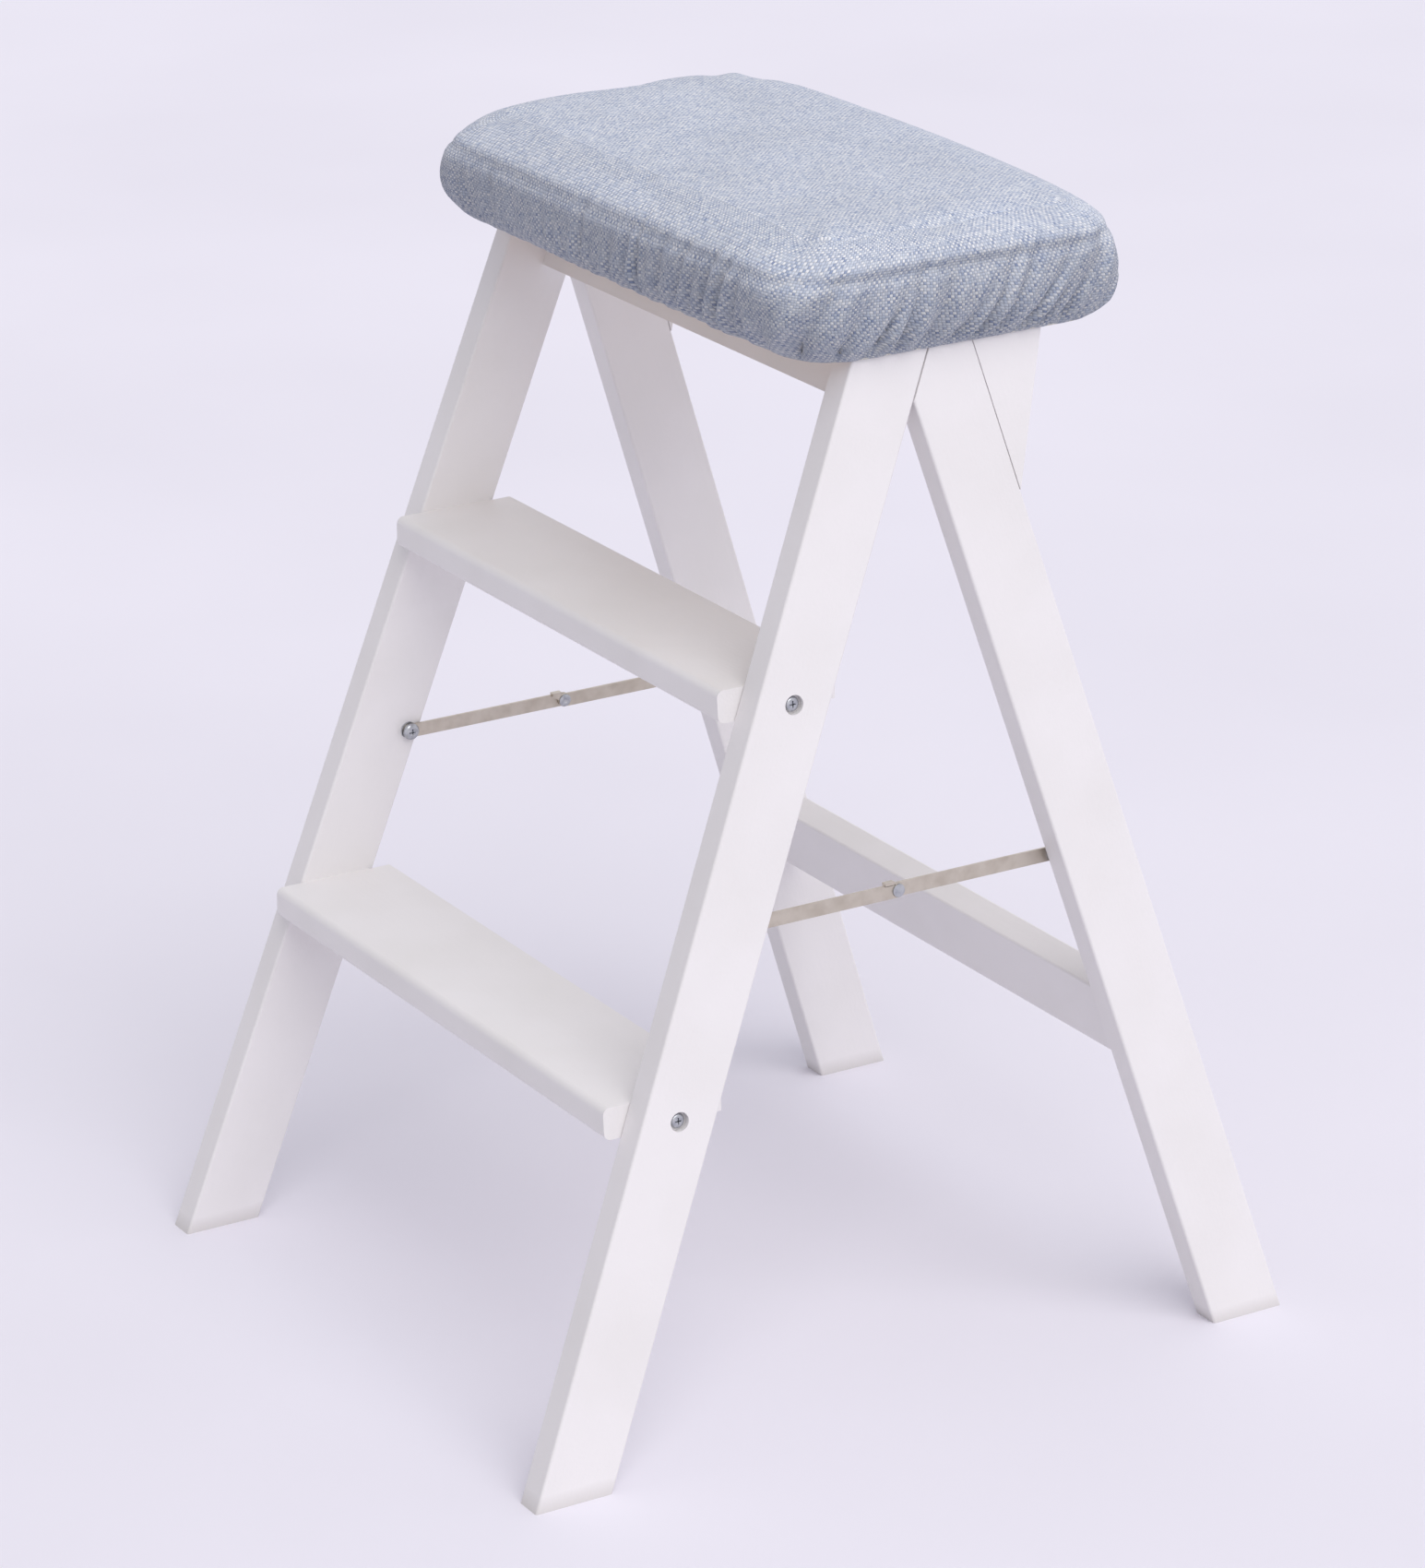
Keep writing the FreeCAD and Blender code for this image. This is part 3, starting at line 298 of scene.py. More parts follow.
# Butt hinges: two leaves of nickel-plated steel each, 1.2 mm thick, rolled round one pin under the
# seat. Flat countersunk screws hold them up against the undersides of the two rails.
NICKEL = "#D0C8BB"
NICKEL_DULL = "#C3BAAC"
HINGE_SCREW = ((0.4, -15), (1.45, -12), (1.5, -1.1), (3.0, -0.05), (2.9, 0))


def satin_nickel(name, run):
    """Nickel plate over steel that was brushed along the direction given, which draws its gloss out in
    streaks. They are drawn 0.3 mm wide, coarser than real ones, so that they show."""
    material, tree, shader = new_finish(name)
    place = add(tree, "TexCoord").outputs["Object"]
    turn = Vector(run).rotation_difference(Vector((1, 0, 0))).to_euler()
    along = add(tree, "Mapping", {"Vector": place, "Rotation": turn}).outputs["Vector"]
    brushed_at = add(tree, "Mapping", {"Vector": along, "Scale": (1000 / 25, 1000 / 0.3, 1000 / 0.3)})
    brushed = add(tree, "TexNoise", {"Vector": brushed_at.outputs["Vector"], "Scale": 1, "Detail": 3})
    cloud = add(tree, "TexNoise", {"Vector": place, "Scale": 1000 / 9, "Detail": 2})
    tint = add(tree, "ValToRGB", {"Fac": cloud.outputs["Fac"]}, stops=((0.3, NICKEL_DULL), (0.6, NICKEL)))
    tree.links.new(tint.outputs["Color"], shader.inputs["Base Color"])
    shader.inputs["Metallic"].default_value = 1
    gloss = add(tree, "MapRange", {"Value": brushed.outputs["Fac"], "To Min": 0.28, "To Max": 0.46})
    tree.links.new(gloss.outputs["Result"], shader.inputs["Roughness"])
    bump = add(tree, "Bump", {"Height": brushed.outputs["Fac"], "Strength": 0.35, "Distance": 0.00005})
    tree.links.new(bump.outputs["Normal"], shader.inputs["Normal"])
    return material


nickel_across = satin_nickel("satin_nickel_hinge", (1, 0, 0))
for side_name in ("left", "right"):
    give(
        nickel_across,
        f"hinge_leaf_front_{side_name}", f"hinge_leaf_rear_{side_name}", f"hinge_pin_{side_name}",
    )
for half, body in (("front", "front_frame"), ("rear", "rear_frame")):
    fit_screws(f"hinge_screws_{half}", body, lambda side: (0, 0, -1), HINGE_SCREW, 1.7, 1.0)


# Stays: one folding strut on each side, of two nickel-plated steel links that meet at a rivet. A tab
# bent from the rear link drops into a notch of the front link when the stool is open. Shoulder screws
# with round cross-recessed heads hold the ends to the inner faces of the stile and the leg.
DOMED_HEAD = ((5.0, -2.4), (5.0, -1.9), (4.7, -1.15), (4.0, -0.5), (3.0, -0.12), (1.8, 0))
SHOULDER = ((5.0, -4.35), (2.5, -4.35), (2.5, -2.4))
FRONT_SCREW = ((0.6, -19.7), (1.9, -17), (2.0, -5.7), (5.0, -5.7)) + SHOULDER + DOMED_HEAD
REAR_SCREW = ((5.0, -5.4),) + SHOULDER + DOMED_HEAD
RIVET = (
    (2.4, -5.2), (3.6, -4.95), (3.8, -4.5), (3.8, -4.4), (2.0, -4.4), (2.0, -0.8),
    (3.8, -0.8), (3.7, -0.5), (3.0, -0.15), (1.9, 0), (1.3, -0.1), (0.9, -0.45),
)


def into_stool(side):
    """Way that the inner face of a stile or leg looks."""
    return (-side, 0, -SPLAY)


for side_name in ("left", "right"):
    nickel_along = satin_nickel(f"satin_nickel_stay_{side_name}", (0, 1, 0))
    give(nickel_along, f"stay_front_link_{side_name}", f"stay_rear_link_{side_name}")
fit_screws("stay_front_screws", "front_frame", into_stool, FRONT_SCREW, 2.7, 1.7)
for side_name, side in (("left", -1), ("right", 1)):
    rear_link = f"stay_rear_{side_name}"
    fit_screws(f"stay_rear_screw_{side_name}", rear_link, into_stool, REAR_SCREW, 2.7, 1.7)
    rivet = mesh_piece(f"rivet_{side_name}", lambda shape: lathe(shape, RIVET))
    rivet_node = f"stay_rivet_{side_name}"
    fasten(rivet, next(solids_of(rivet_node)), into_stool(side), f"stay_front_{side_name}", rivet_node)


# Seat board: birch plywood, screwed down on the front rail. Only its underside shows, pale
# yellow-brown with wide soft grain that runs across the stool.
BIRCH = "#D9BE93"
BIRCH_DARK = "#BD9A6B"

birch, tree, shader = new_finish("birch_plywood")
place = add(tree, "TexCoord").outputs["Object"]
figure_at = add(tree, "Mapping", {"Vector": place, "Scale": (1000 / 150, 1000 / 9, 1000 / 2)})
figure = add(tree, "TexNoise", {
    "Vector": figure_at.outputs["Vector"], "Scale": 1, "Detail": 4, "Distortion": 0.6,
})
pores_at = add(tree, "Mapping", {"Vector": place, "Scale": (1000 / 6, 1000 / 0.5, 1000 / 0.5)})
pores = add(tree, "TexNoise", {"Vector": pores_at.outputs["Vector"], "Scale": 1, "Detail": 2})
tint = add(tree, "ValToRGB", {"Fac": figure.outputs["Fac"]}, stops=((0.35, BIRCH_DARK), (0.62, BIRCH)))
tree.links.new(tint.outputs["Color"], shader.inputs["Base Color"])
bump = add(tree, "Bump", {"Height": pores.outputs["Fac"], "Strength": 0.3, "Distance": 0.0002})
tree.links.new(bump.outputs["Normal"], shader.inputs["Normal"])
shader.inputs["Roughness"].default_value = 0.7
give(birch, "seat_board")


# Cushion cover: a loose woven cotton cover, pale blue with off-white weft, pulled over a foam pad and
# held under the seat board by an elastic in its hem. The elastic gathers the cloth into short pleats.
WARP_PALE = "#D6DDEA"
WARP_DEEP = "#8193BA"
WEFT_PALE = "#F8F9FC"
WEFT_DEEP = "#B9C6DE"
THREAD = 1.5

# Outline from the hem to the top: how far out of the board's edge and how high over its underside.
HEM_TO_TOP = (
    (-3.0, -0.3), (-3.0, -2.0), (-1.8, -2.6), (-0.4, -2.2), (1.0, -0.8), (2.6, 1.4), (4.4, 4.4),
    (6.4, 8.2), (8.6, 12.6), (9.9, 17.6), (10.4, 22.6), (10.5, 28.0), (10.4, 34.0), (9.9, 39.9),
    (8.7, 45.2), (6.6, 49.6), (3.4, 53.0), (-0.9, 55.5), (-6.6, 57.1), (-13.2, 58.2),
)
CROWN = 61.8

# The foam stands out farther at the front and, most a little left of the middle, at the back. The cover
# rounds its four corners more and draws them down, between the two heights given for each.
FULL_OUTSET = 10.4
FRONT_SWELL = 9
BACK_SWELL = 11
BACK_SWELL_MIDDLE = -30
BACK_SWELL_HALF = 200
BACK_SWELL_RISE = (0, 15)
CORNER = 30
CORNER_EASE = 4
EASE_RISE = (28, 48)
CORNER_DROP = 5
DROP_RISE = (22, 50)
CORNER_STEPS = 16
PITCH = 2.8
LAY_OUTSET = 6

# Cloth run: the elastic holds the lowest rings. The rest moves out, in and along itself by this much
# at most, in metres.
HEM_RINGS = 6
SWELL_FRAMES = 20
MOST_OUT = 0.003
MOST_IN = 0.0007
MOST_ALONG = 0.001

# Pleats: ranges of their spacing, width, height and depth. They are shallow near the left end of the
# front. Over them, the upper edge of the foam shows as a fine ridge above a groove.
PLEAT_SPACING = (11, 20)
PLEAT_WIDTH = (2.4, 4.2)
PLEAT_TALL = (26, 56)
PLEAT_DEEP = (4.5, 9.0)
LAST_SPACING = 8
CALM_FROM_CORNER = 60
CALM_REACH = 90
FOAM_EDGE = 47
FOAM_GROOVE = 42.5
PLEATS_END = 52
CLEARANCE = 0.6
TINY = 1e-6

board_low, board_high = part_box("seat_board")
half_x = board_high.x * 1000
half_y = (board_high.y - board_low.y) * 500
mid_y = (board_low.y + board_high.y) * 500
board_z = board_low.z * 1000
long_run, short_run = 2 * (half_x - CORNER), 2 * (half_y - CORNER)


def share_of_way(value, start, end):
    """How far a value has come from start, which gives 0, to end, which gives 1."""
    return min(1, max(0, (value - start) / (end - start)))


def back_swell(x, rise):
    """How far the foam stands out over the board's back edge, most near the middle and not at the hem."""
    level = share_of_way(rise, *BACK_SWELL_RISE)
    return BACK_SWELL * level * max(0, 1 - ((x - BACK_SWELL_MIDDLE) / BACK_SWELL_HALF) ** 2)


def corner_drop(x, y, rise):
    """How much lower the cushion is near one of its four corners, where the cover pulls it in."""
    near = min(1, abs(x) / half_x) ** 6 * min(1, abs(y - mid_y) / half_y) ** 6
    return CORNER_DROP * near * share_of_way(rise, *DROP_RISE)


def seat_ring(outset, rise=0):
    """Points of the seat's outline moved out by outset, from the middle of the back right corner."""
    ease = CORNER_EASE * share_of_way(rise, *EASE_RISE)
    radius = CORNER + 0.4 * outset + ease
    shift = 0.6 * outset - ease
    ring = []
    for quarter, (across, along, run) in enumerate((
        (1, 1, long_run), (-1, 1, short_run), (-1, -1, long_run), (1, -1, short_run),
    )):
        middle = Vector((across * (long_run / 2 + shift), mid_y + along * (short_run / 2 + shift)))
        for step in range(CORNER_STEPS):
            turn = math.pi / 2 * (quarter + step / CORNER_STEPS)
            ring.append(middle + radius * Vector((math.cos(turn), math.sin(turn))))
        leave = math.pi / 2 * (quarter + 1)
        start = middle + radius * Vector((math.cos(leave), math.sin(leave)))
        heading = Vector((-math.sin(leave), math.cos(leave))) * (run + 2 * shift)
        count = round(run / PITCH)
        ring += [start + heading * step / count for step in range(count)]
    for p in ring:
        if p.y < mid_y:
            p.y -= FRONT_SWELL * max(outset, 0) / FULL_OUTSET * (mid_y - p.y) / half_y
        else:
            p.y += back_swell(p.x, rise) * (p.y - mid_y) / half_y
    half_corner = CORNER_STEPS // 2
    return ring[half_corner:] + ring[:half_corner]


def top_rise(inset):
    """Height of the cover's top over the board's underside, at a distance inside the board's edge."""
    edge, first = -HEM_TO_TOP[-1][0], HEM_TO_TOP[-1][1]
    share = share_of_way(inset, edge, half_y)
    return first + (CROWN - first) * (1 - (1 - share) ** 3)


def cover_start(shape):
    """The cover before it swells: rings up the sides, and a grid that fills the last ring. The lay of the
    cloth goes along as lengths in millimetres, round the sides and up them, or across the top."""
    lay = shape.loops.layers.float_vector.new("lay")
    rings = []
    for outset, rise in HEM_TO_TOP:
        rings.append([])
        for p in seat_ring(outset, rise):
            height = board_z + rise - corner_drop(p.x, p.y, rise)
            rings[-1].append(shape.verts.new((p.x, p.y, height)))
    middle = seat_ring(LAY_OUTSET)
    walk = [0.0]
    for before, after in zip(middle, middle[1:] + middle[:1]):
        walk.append(walk[-1] + (after - before).length)
    pairs_of_threads = round(walk[-1] / (2 * THREAD))
    walk = [length * pairs_of_threads * 2 * THREAD / walk[-1] for length in walk]
    climb = [0.0]
    for (out_a, rise_a), (out_b, rise_b) in zip(HEM_TO_TOP, HEM_TO_TOP[1:]):
        climb.append(climb[-1] + math.hypot(out_b - out_a, rise_b - rise_a))
    for level, (low, high) in enumerate(zip(rings, rings[1:])):
        for i in range(len(low)):
            after = (i + 1) % len(low)
            face = shape.faces.new((low[i], low[after], high[after], high[i]))
            corners = ((i, level), (i + 1, level), (i + 1, level + 1), (i, level + 1))
            for loop, (step, row) in zip(face.loops, corners):
                loop[lay] = (walk[step], climb[row], 0)
    wide = round(long_run / PITCH) + CORNER_STEPS
    deep = round(short_run / PITCH) + CORNER_STEPS
    edge = rings[-1]
    back = edge[:wide + 1]
    left = edge[wide:wide + deep + 1]
    front = edge[wide + deep:2 * wide + deep + 1][::-1]
    right = (edge[2 * wide + deep:] + edge[:1])[::-1]
    grid = [[None] * (deep + 1) for column in range(wide + 1)]
    for i in range(wide + 1):
        for j in range(deep + 1):
            u, v = i / wide, j / deep
            if i in (0, wide):
                grid[i][j] = (right if i == 0 else left)[j]
            elif j in (0, deep):
                grid[i][j] = (back if j == 0 else front)[i]
            else:
                across = right[j].co.lerp(left[j].co, u)
                along = back[i].co.lerp(front[i].co, v)
                corners = back[0].co.lerp(back[wide].co, u).lerp(front[0].co.lerp(front[wide].co, u), v)
                place = across + along - corners
                depth = half_y + (back_swell(place.x, CROWN) if place.y > mid_y else 0)
                side = (1 - abs(place.y - mid_y) / depth) * half_y
                dropped = corner_drop(place.x, place.y, CROWN)
                place.z = board_z + top_rise(min(half_x - abs(place.x), side)) - dropped
                grid[i][j] = shape.verts.new(place)
    for i in range(wide):
        for j in range(deep):
            face = shape.faces.new((grid[i][j], grid[i + 1][j], grid[i + 1][j + 1], grid[i][j + 1]))
            for loop in face.loops:
                loop[lay] = (loop.vert.co.x, loop.vert.co.y, 0)
    for corner in shape.verts:
        corner.co /= 1000


cover = mesh_piece("cushion_cover", cover_start, 180)
hem = cover.vertex_groups.new(name="hem")
hem.add(range(HEM_RINGS * len(seat_ring(0))), 1.0, "REPLACE")
rest = np.array([v.co for v in cover.data.vertices])

swell = cover.modifiers.new("swell", "CLOTH")
cloth = swell.settings
cloth.quality = 6
cloth.mass = 0.25
cloth.tension_stiffness = cloth.compression_stiffness = 18
cloth.shear_stiffness = 8
cloth.bending_stiffness = 1.5
cloth.use_pressure = True
cloth.uniform_pressure_force = 4
cloth.effector_weights.gravity = 0
cloth.vertex_group_mass = "hem"
for step in range(1, SWELL_FRAMES + 1):
    bpy.context.scene.frame_set(step)
swollen = cover.evaluated_get(bpy.context.evaluated_depsgraph_get())
moved = np.array([v.co for v in swollen.data.vertices]) - rest
normals = np.array([v.normal for v in cover.data.vertices])
outward = (moved * normals).sum(1, keepdims=True)
limit = np.where(outward > 0, MOST_OUT, MOST_IN)
sideways = moved - outward * normals
far = np.linalg.norm(sideways, axis=1, keepdims=True)
rest = rest + limit * np.tanh(outward / limit) * normals
rest = rest + sideways * MOST_ALONG / np.maximum(far, MOST_ALONG)
cover.modifiers.remove(swell)
bpy.context.scene.frame_set(1)
cover.data.vertices.foreach_set("co", rest.ravel())

finer = cover.modifiers.new("finer", "SUBSURF")
finer.levels = finer.render_levels = 1
bpy.context.view_layer.update()
fine_mesh = bpy.data.meshes.new_from_object(cover.evaluated_get(bpy.context.evaluated_depsgraph_get()))
cover.modifiers.clear()
cover.data = fine_mesh

# Each pleat is a short groove that starts at the elastic and dies out up the side, with a low swelling
# on both sides of it. The pull of the cloth makes it lean. Its place is a length round the board's edge.
places = np.array([v.co for v in fine_mesh.vertices]) * 1000
rise = places[:, 2] - board_z
core_x = np.clip(places[:, 0], -long_run / 2, long_run / 2)
core_y = mid_y + np.clip(places[:, 1] - mid_y, -short_run / 2, short_run / 2)
out_x, out_y = places[:, 0] - core_x, places[:, 1] - core_y
far = np.maximum(np.hypot(out_x, out_y), TINY)
turn = np.arctan2(out_y, out_x) % (2 * math.pi)
turn[turn > 2 * math.pi - TINY] = 0
quarter = np.floor(turn / (math.pi / 2) + TINY).astype(int)
side_y = core_y - mid_y
round_edge = CORNER * turn + np.choose(quarter, [
    side_y, (short_run + long_run) / 2 - core_x,
    short_run + long_run - side_y, 1.5 * (short_run + long_run) + core_x,
])
perimeter = 2 * (long_run + short_run) + 2 * math.pi * CORNER
calm_at = 1.5 * short_run + long_run + 1.5 * math.pi * CORNER + CALM_FROM_CORNER

chance = random.Random(11)
push = np.zeros(len(places))
at = 0.0
hold = np.clip((rise - min(height for outset, height in HEM_TO_TOP)) / 7, 0, 1)
while at < perimeter - LAST_SPACING:
    at += chance.uniform(*PLEAT_SPACING)
    width = chance.uniform(*PLEAT_WIDTH)
    tall = chance.uniform(*PLEAT_TALL)
    deep = chance.uniform(*PLEAT_DEEP)
    lean = chance.uniform(-0.2, 0.35) + 0.5 * math.cos(2 * math.pi * at / perimeter)
    deep *= 1 - 0.6 * math.exp(-((at - calm_at) / CALM_REACH) ** 2)
    gap = (round_edge - at - lean * rise + perimeter / 2) % perimeter - perimeter / 2
    groove = 0.45 * np.exp(-((np.abs(gap) - 2.1 * width) / width) ** 2) - np.exp(-np.abs(gap) / width)
    push += deep * hold * groove * np.clip(1 - rise / tall, 0, 1) ** 0.9
slack = np.array([noise.noise(Vector(p) / 26) for p in places])
push += 0.45 * slack + 0.7 * np.exp(-((rise - FOAM_EDGE) / 2.2) ** 2)
push -= 1.3 * np.exp(-((rise - FOAM_GROOVE) / 2.0) ** 2)
push *= np.clip((PLEATS_END - rise) / 4, 0, 1)
nearest = CORNER + CLEARANCE
held_off = np.where((rise > -1) & (far > CORNER), np.maximum(push, nearest - far), push)
push = np.where(far + push < nearest, held_off, push)
places[:, 0] += out_x / far * push
places[:, 1] += out_y / far * push
fine_mesh.vertices.foreach_set("co", (places / 1000).ravel())
fine_mesh.update()
fine_mesh.shade_smooth()

woven, tree, shader = new_finish("plain_weave_cotton")
coords = add(tree, "TexCoord").outputs
lay = add(tree, "Attribute", attribute_name="lay").outputs["Vector"]
wander = add(tree, "TexNoise", {"Vector": coords["Object"], "Scale": 1000 / 14, "Detail": 1})
strayed = add(tree, "VectorMath", {0: wander.outputs["Color"], 1: (1.6, 1.6, 0)}, operation="MULTIPLY")
laid = add(tree, "VectorMath", {0: lay, 1: strayed.outputs["Vector"]}, operation="ADD")
scaled = add(tree, "VectorMath", {0: laid.outputs["Vector"], 3: 1 / THREAD}, operation="SCALE")
threads = scaled.outputs["Vector"]
count = add(tree, "VectorMath", {0: threads}, operation="FLOOR").outputs["Vector"]
within = add(tree, "VectorMath", {0: threads}, operation="FRACTION").outputs["Vector"]
run = add(tree, "SeparateXYZ", {"Vector": threads}).outputs
number = add(tree, "SeparateXYZ", {"Vector": count}).outputs
part = add(tree, "SeparateXYZ", {"Vector": within}).outputs

# Plain weave: the warp and the weft lie on top by turns, as the fields of a chessboard.
summed = add(tree, "Math", {0: number["X"], 1: number["Y"]}, operation="ADD").outputs["Value"]
warp_over = add(tree, "Math", {0: summed, 1: 2.0}, operation="FLOORED_MODULO").outputs["Value"]
arch_u = add(tree, "Math", {0: part["X"], 1: math.pi}, operation="MULTIPLY").outputs["Value"]
arch_v = add(tree, "Math", {0: part["Y"], 1: math.pi}, operation="MULTIPLY").outputs["Value"]
round_u = add(tree, "Math", {0: arch_u}, operation="SINE").outputs["Value"]
round_v = add(tree, "Math", {0: arch_v}, operation="SINE").outputs["Value"]
low_u = add(tree, "MapRange", {"Value": round_u, "To Min": 0.55, "To Max": 1}).outputs["Result"]
low_v = add(tree, "MapRange", {"Value": round_v, "To Min": 0.55, "To Max": 1}).outputs["Result"]
warp_high = add(tree, "Math", {0: round_u, 1: low_v}, operation="MULTIPLY").outputs["Value"]
weft_high = add(tree, "Math", {0: round_v, 1: low_u}, operation="MULTIPLY").outputs["Value"]
high = add(tree, "Mix", {0: warp_over, 2: weft_high, 3: warp_high}).outputs[0]
each = add(tree, "TexWhiteNoise", {"Vector": count}, noise_dimensions="2D").outputs["Value"]


def thread_tint(spot, deep_code, pale_code):
    """Colour of the threads that run one way: slubs along each thread, and chance at each crossing."""
    slub = add(tree, "TexNoise", {"Vector": spot.outputs["Vector"], "Scale": 1.37, "Detail": 1})
    melange = add(tree, "Mix", {0: 0.45, 2: slub.outputs["Fac"], 3: each})
    share = add(tree, "MapRange", {"Value": melange.outputs[0], "From Min": 0.1, "From Max": 0.72})
    return add(tree, "Mix", {
        0: share.outputs["Result"], 6: linear(deep_code), 7: linear(pale_code),
    }, data_type="RGBA").outputs[2]


along_weft = add(tree, "Math", {0: run["X"], 1: 0.22}, operation="MULTIPLY").outputs["Value"]
along_warp = add(tree, "Math", {0: run["Y"], 1: 0.22}, operation="MULTIPLY").outputs["Value"]
weft_at = add(tree, "CombineXYZ", {"X": along_weft, "Y": number["Y"], "Z": 3.7})
warp_at = add(tree, "CombineXYZ", {"X": number["X"], "Y": along_warp, "Z": 8.2})
weft_tint = thread_tint(weft_at, WEFT_DEEP, WEFT_PALE)
warp_tint = thread_tint(warp_at, WARP_DEEP, WARP_PALE)
top_thread = add(tree, "Mix", {0: warp_over, 6: weft_tint, 7: warp_tint}, data_type="RGBA").outputs[2]
# Painted shade: the low parts of the weave between the raised threads are darkened down to 0.7.
painted_gap_shade = add(tree, "MapRange", {"Value": high, "From Max": 0.7, "To Min": 0.7, "To Max": 1})
shaded = add(tree, "Mix", {
    0: 1.0, 6: top_thread, 7: painted_gap_shade.outputs["Result"],
}, data_type="RGBA", blend_type="MULTIPLY")

# Whole cloth: it is a little uneven, and its upright sides carry painted shade, darker than its top.
cloud = add(tree, "TexNoise", {"Vector": coords["Object"], "Scale": 1000 / 45, "Detail": 3})
clouded = add(tree, "MapRange", {
    "Value": cloud.outputs["Fac"], "From Min": 0.3, "From Max": 0.7, "To Min": 0.95, "To Max": 1.04,
})
facing = add(tree, "SeparateXYZ", {"Vector": coords["Normal"]})
# Painted shade: the sides are darkened by how far they turn from facing up, down to 0.6 of the top.
painted_side_shade = add(tree, "MapRange", {
    "Value": facing.outputs["Z"], "From Min": 0.1, "From Max": 0.9, "To Min": 0.6, "To Max": 1,
})
tone_and_painted_shade = add(tree, "Math", {
    0: clouded.outputs["Result"], 1: painted_side_shade.outputs["Result"],
}, operation="MULTIPLY")
cloth_tint = add(tree, "Mix", {
    0: 1.0, 6: shaded.outputs[2], 7: tone_and_painted_shade.outputs["Value"],
}, data_type="RGBA", blend_type="MULTIPLY")
tree.links.new(cloth_tint.outputs[2], shader.inputs["Base Color"])
relief = add(tree, "Bump", {"Height": high, "Strength": 0.7, "Distance": 0.0006})
tree.links.new(relief.outputs["Normal"], shader.inputs["Normal"])
shader.inputs["Roughness"].default_value = 0.92
shader.inputs["Sheen Weight"].default_value = 0.15
shader.inputs["Sheen Roughness"].default_value = 0.5
give(woven, cover)
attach(cover, "front_frame")
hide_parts("seat_cover", "seat_pad")


# Hem elastic: a square braided elastic that runs round inside the hem. It lies in the channel of the
# hem under the edge of the seat board, so it hardly shows.
ELASTIC = "#E6E3DC"
ELASTIC_GAP = "#B9B5AC"
ELASTIC_CORNERS = ((-2.2, -2.1), (-0.7, -2.1), (-0.7, -0.6), (-2.2, -0.6))

elastic, tree, shader = new_finish("braided_elastic")
place = add(tree, "TexCoord").outputs["Object"]
braid = add(tree, "TexVoronoi", {"Vector": place, "Scale": 1000 / 0.8}).outputs["Distance"]
tint = add(tree, "ValToRGB", {"Fac": braid}, stops=((0, ELASTIC), (1, ELASTIC_GAP)))
tree.links.new(tint.outputs["Color"], shader.inputs["Base Color"])
bump = add(tree, "Bump", {"Height": braid, "Strength": 0.5, "Distance": 0.0003})
tree.links.new(bump.outputs["Normal"], shader.inputs["Normal"])
shader.inputs["Roughness"].default_value = 0.8


def elastic_start(shape):
    """Closed band that follows the board's edge, with four corners in its section."""
    rings = []
    for outset, rise in ELASTIC_CORNERS:
        height = (board_z + rise) / 1000
        rings.append([shape.verts.new((p.x / 1000, p.y / 1000, height)) for p in seat_ring(outset)])
    for ring, after in zip(rings, rings[1:] + rings[:1]):
        for i in range(len(ring)):
            shape.faces.new((ring[i - 1], ring[i], after[i], after[i - 1]))


band = mesh_piece("hem_elastic", elastic_start)
give(elastic, band)
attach(band, "front_frame")
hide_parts("cover_elastic")


# Studio: a plain pale floor, one large soft lamp high on the right and even light all round. The
# camera stands where the photographer stood, which was worked out from edges in the photo.
FLOOR = "#E8E5EE"
FLOOR_PALE = "#EDEAF3"
FLOOR_HALF = 12
BACKDROP = "#F1F0F7"
FILL = "#F8F8FF"
FILL_LEVEL = 0.59
FILL_LEAN = (0.11, 0.24, 0.18)
LAMP_FROM = (0.66, -0.04, 0.75)
CAMERA_AT = (2.73487, -1.57528, 1.45915)
AZIMUTH, ELEVATION, ROLL = (math.radians(a) for a in (60.0, 20.2218, -1.1788))
FOCAL_PIXELS = 6476.1
PHOTO_PIXELS = 1545
SENSOR = 36


def floor_sheet(shape):
    """One square on the ground."""
    corners = ((-1, -1), (1, -1), (1, 1), (-1, 1))
    shape.faces.new([shape.verts.new((x * FLOOR_HALF, y * FLOOR_HALF, 0)) for x, y in corners])


floor = mesh_piece("floor", floor_sheet)
paper, tree, shader = new_finish("white_paper")
place = add(tree, "TexCoord").outputs["Object"]
cloud = add(tree, "TexNoise", {"Vector": place, "Scale": 1.6, "Detail": 3})
tint = add(tree, "ValToRGB", {"Fac": cloud.outputs["Fac"]}, stops=((0.3, FLOOR), (0.7, FLOOR_PALE)))
tree.links.new(tint.outputs["Color"], shader.inputs["Base Color"])
shader.inputs["Roughness"].default_value = 0.9
shader.inputs["Specular IOR Level"].default_value = 0.1
give(paper, floor)

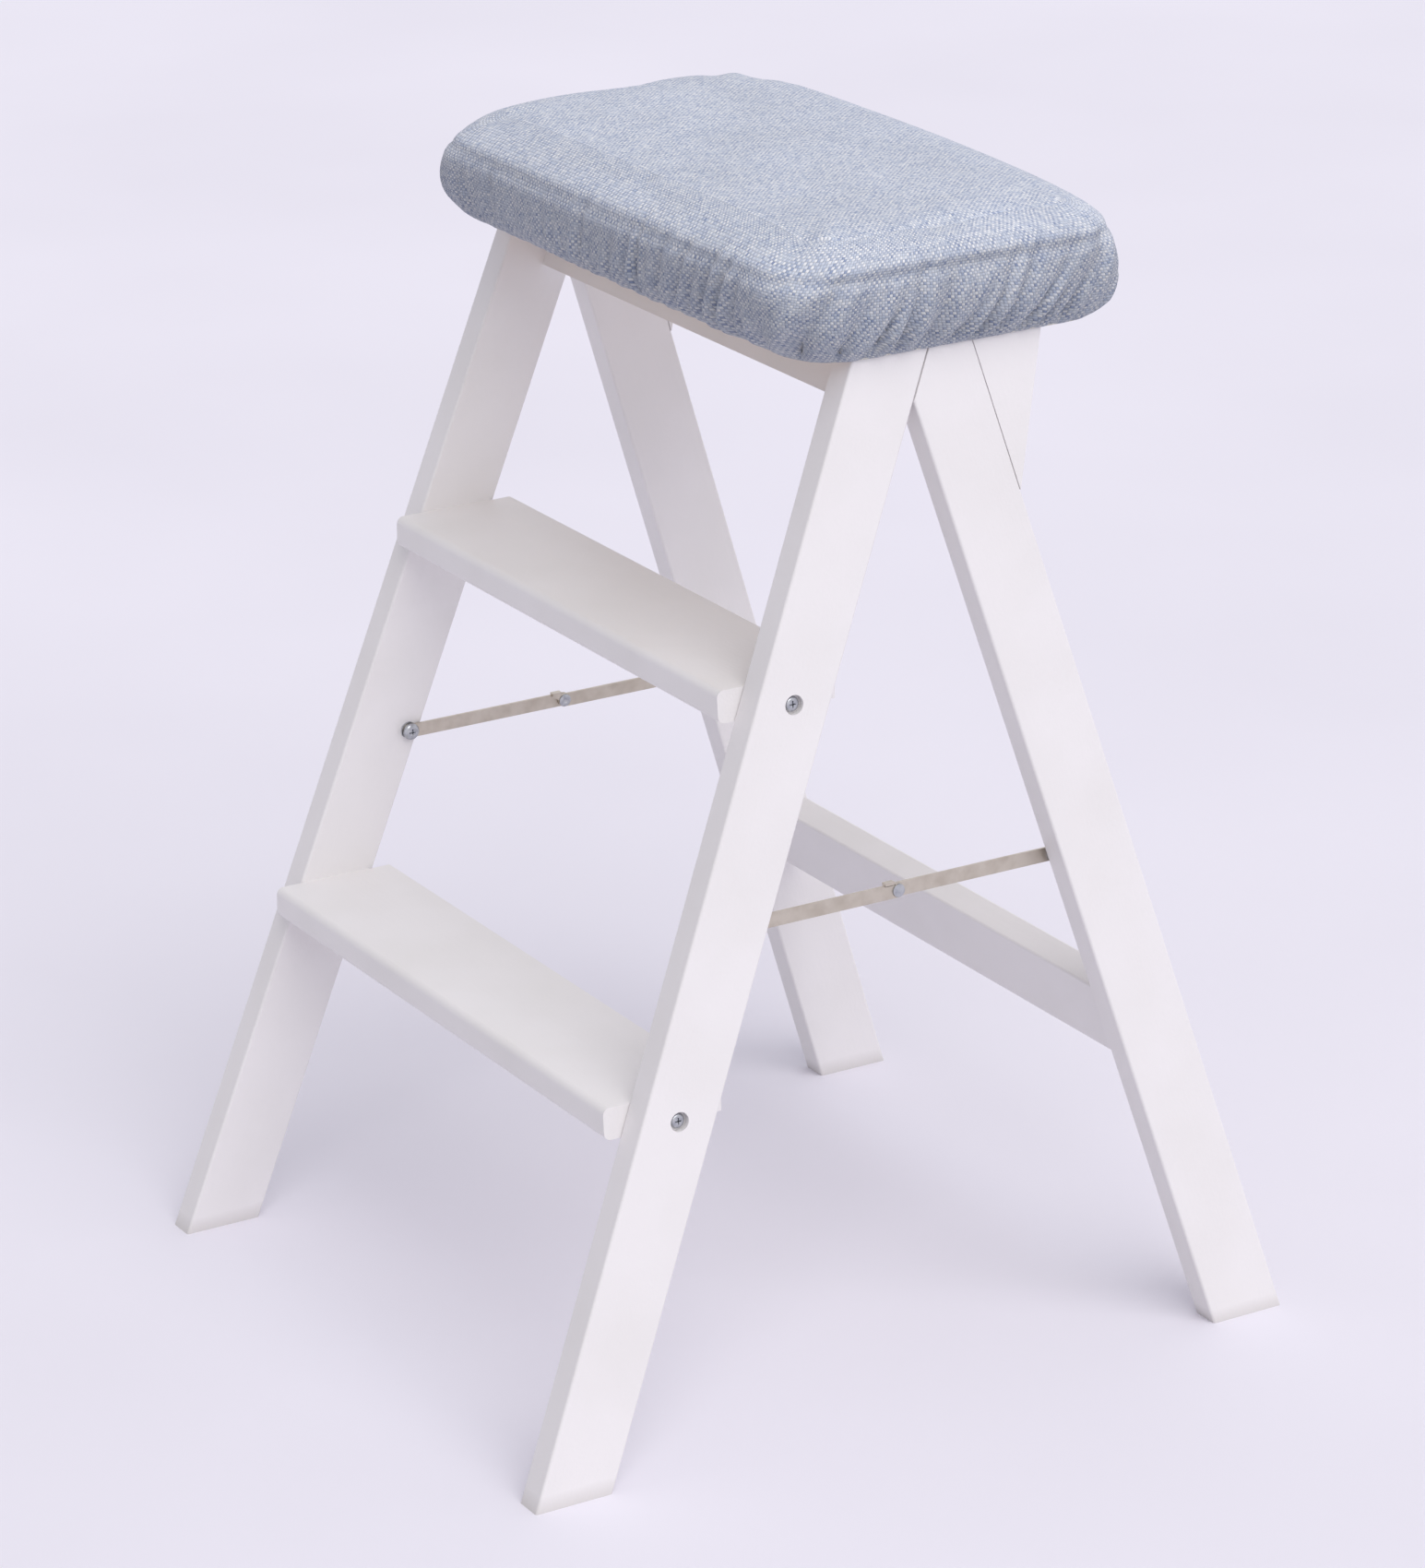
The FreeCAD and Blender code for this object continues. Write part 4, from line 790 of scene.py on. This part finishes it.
world = bpy.data.worlds.new("studio")
bpy.context.scene.world = world
world.use_nodes = True
tree = world.node_tree
tree.nodes.clear()
path = add(tree, "LightPath").outputs
direct = add(tree, "Math", {0: path["Is Camera Ray"], 1: path["Is Glossy Ray"]}, operation="MAXIMUM")
seen = add(tree, "Math", {
    0: direct.outputs["Value"], 1: path["Is Transmission Ray"],
}, operation="MAXIMUM")
backdrop = add(tree, "Background", {"Color": linear(BACKDROP), "Strength": 1.0})
way = add(tree, "TexCoord").outputs["Generated"]
lean = add(tree, "VectorMath", {0: way, 1: FILL_LEAN}, operation="DOT_PRODUCT").outputs["Value"]
level = add(tree, "Math", {0: lean, 1: FILL_LEVEL}, operation="ADD").outputs["Value"]
fill = add(tree, "Background", {"Color": linear(FILL), "Strength": level})
both = add(tree, "MixShader", {
    0: seen.outputs["Value"], 1: fill.outputs["Background"], 2: backdrop.outputs["Background"],
})
add(tree, "OutputWorld", {"Surface": both.outputs["Shader"]})

lamp_data = bpy.data.lights.new("window", "SUN")
lamp_data.energy = 1.36
lamp_data.angle = math.radians(50)
lamp_data.color = (1.0, 0.985, 0.97)
lamp = bpy.data.objects.new("window", lamp_data)
bpy.context.scene.collection.objects.link(lamp)
lamp.rotation_euler = Vector(LAMP_FROM).to_track_quat("Z", "Y").to_euler()

ahead = Vector((
    -math.sin(AZIMUTH) * math.cos(ELEVATION), math.cos(AZIMUTH) * math.cos(ELEVATION), -math.sin(ELEVATION),
))
right = Vector((math.cos(AZIMUTH), math.sin(AZIMUTH), 0))
upward = right.cross(ahead)
right, upward = (
    math.cos(ROLL) * right + math.sin(ROLL) * upward,
    math.cos(ROLL) * upward - math.sin(ROLL) * right,
)
camera_data = bpy.data.cameras.new("photographer")
camera_data.sensor_fit = "HORIZONTAL"
camera_data.sensor_width = SENSOR
camera_data.lens = SENSOR * FOCAL_PIXELS / PHOTO_PIXELS
camera_data.clip_end = 60
camera = bpy.data.objects.new("photographer", camera_data)
bpy.context.scene.collection.objects.link(camera)
turned = Matrix((right, upward, -ahead)).transposed().to_4x4()
camera.matrix_world = Matrix.Translation(CAMERA_AT) @ turned
bpy.context.scene.camera = camera
bpy.context.scene.view_settings.view_transform = "Standard"
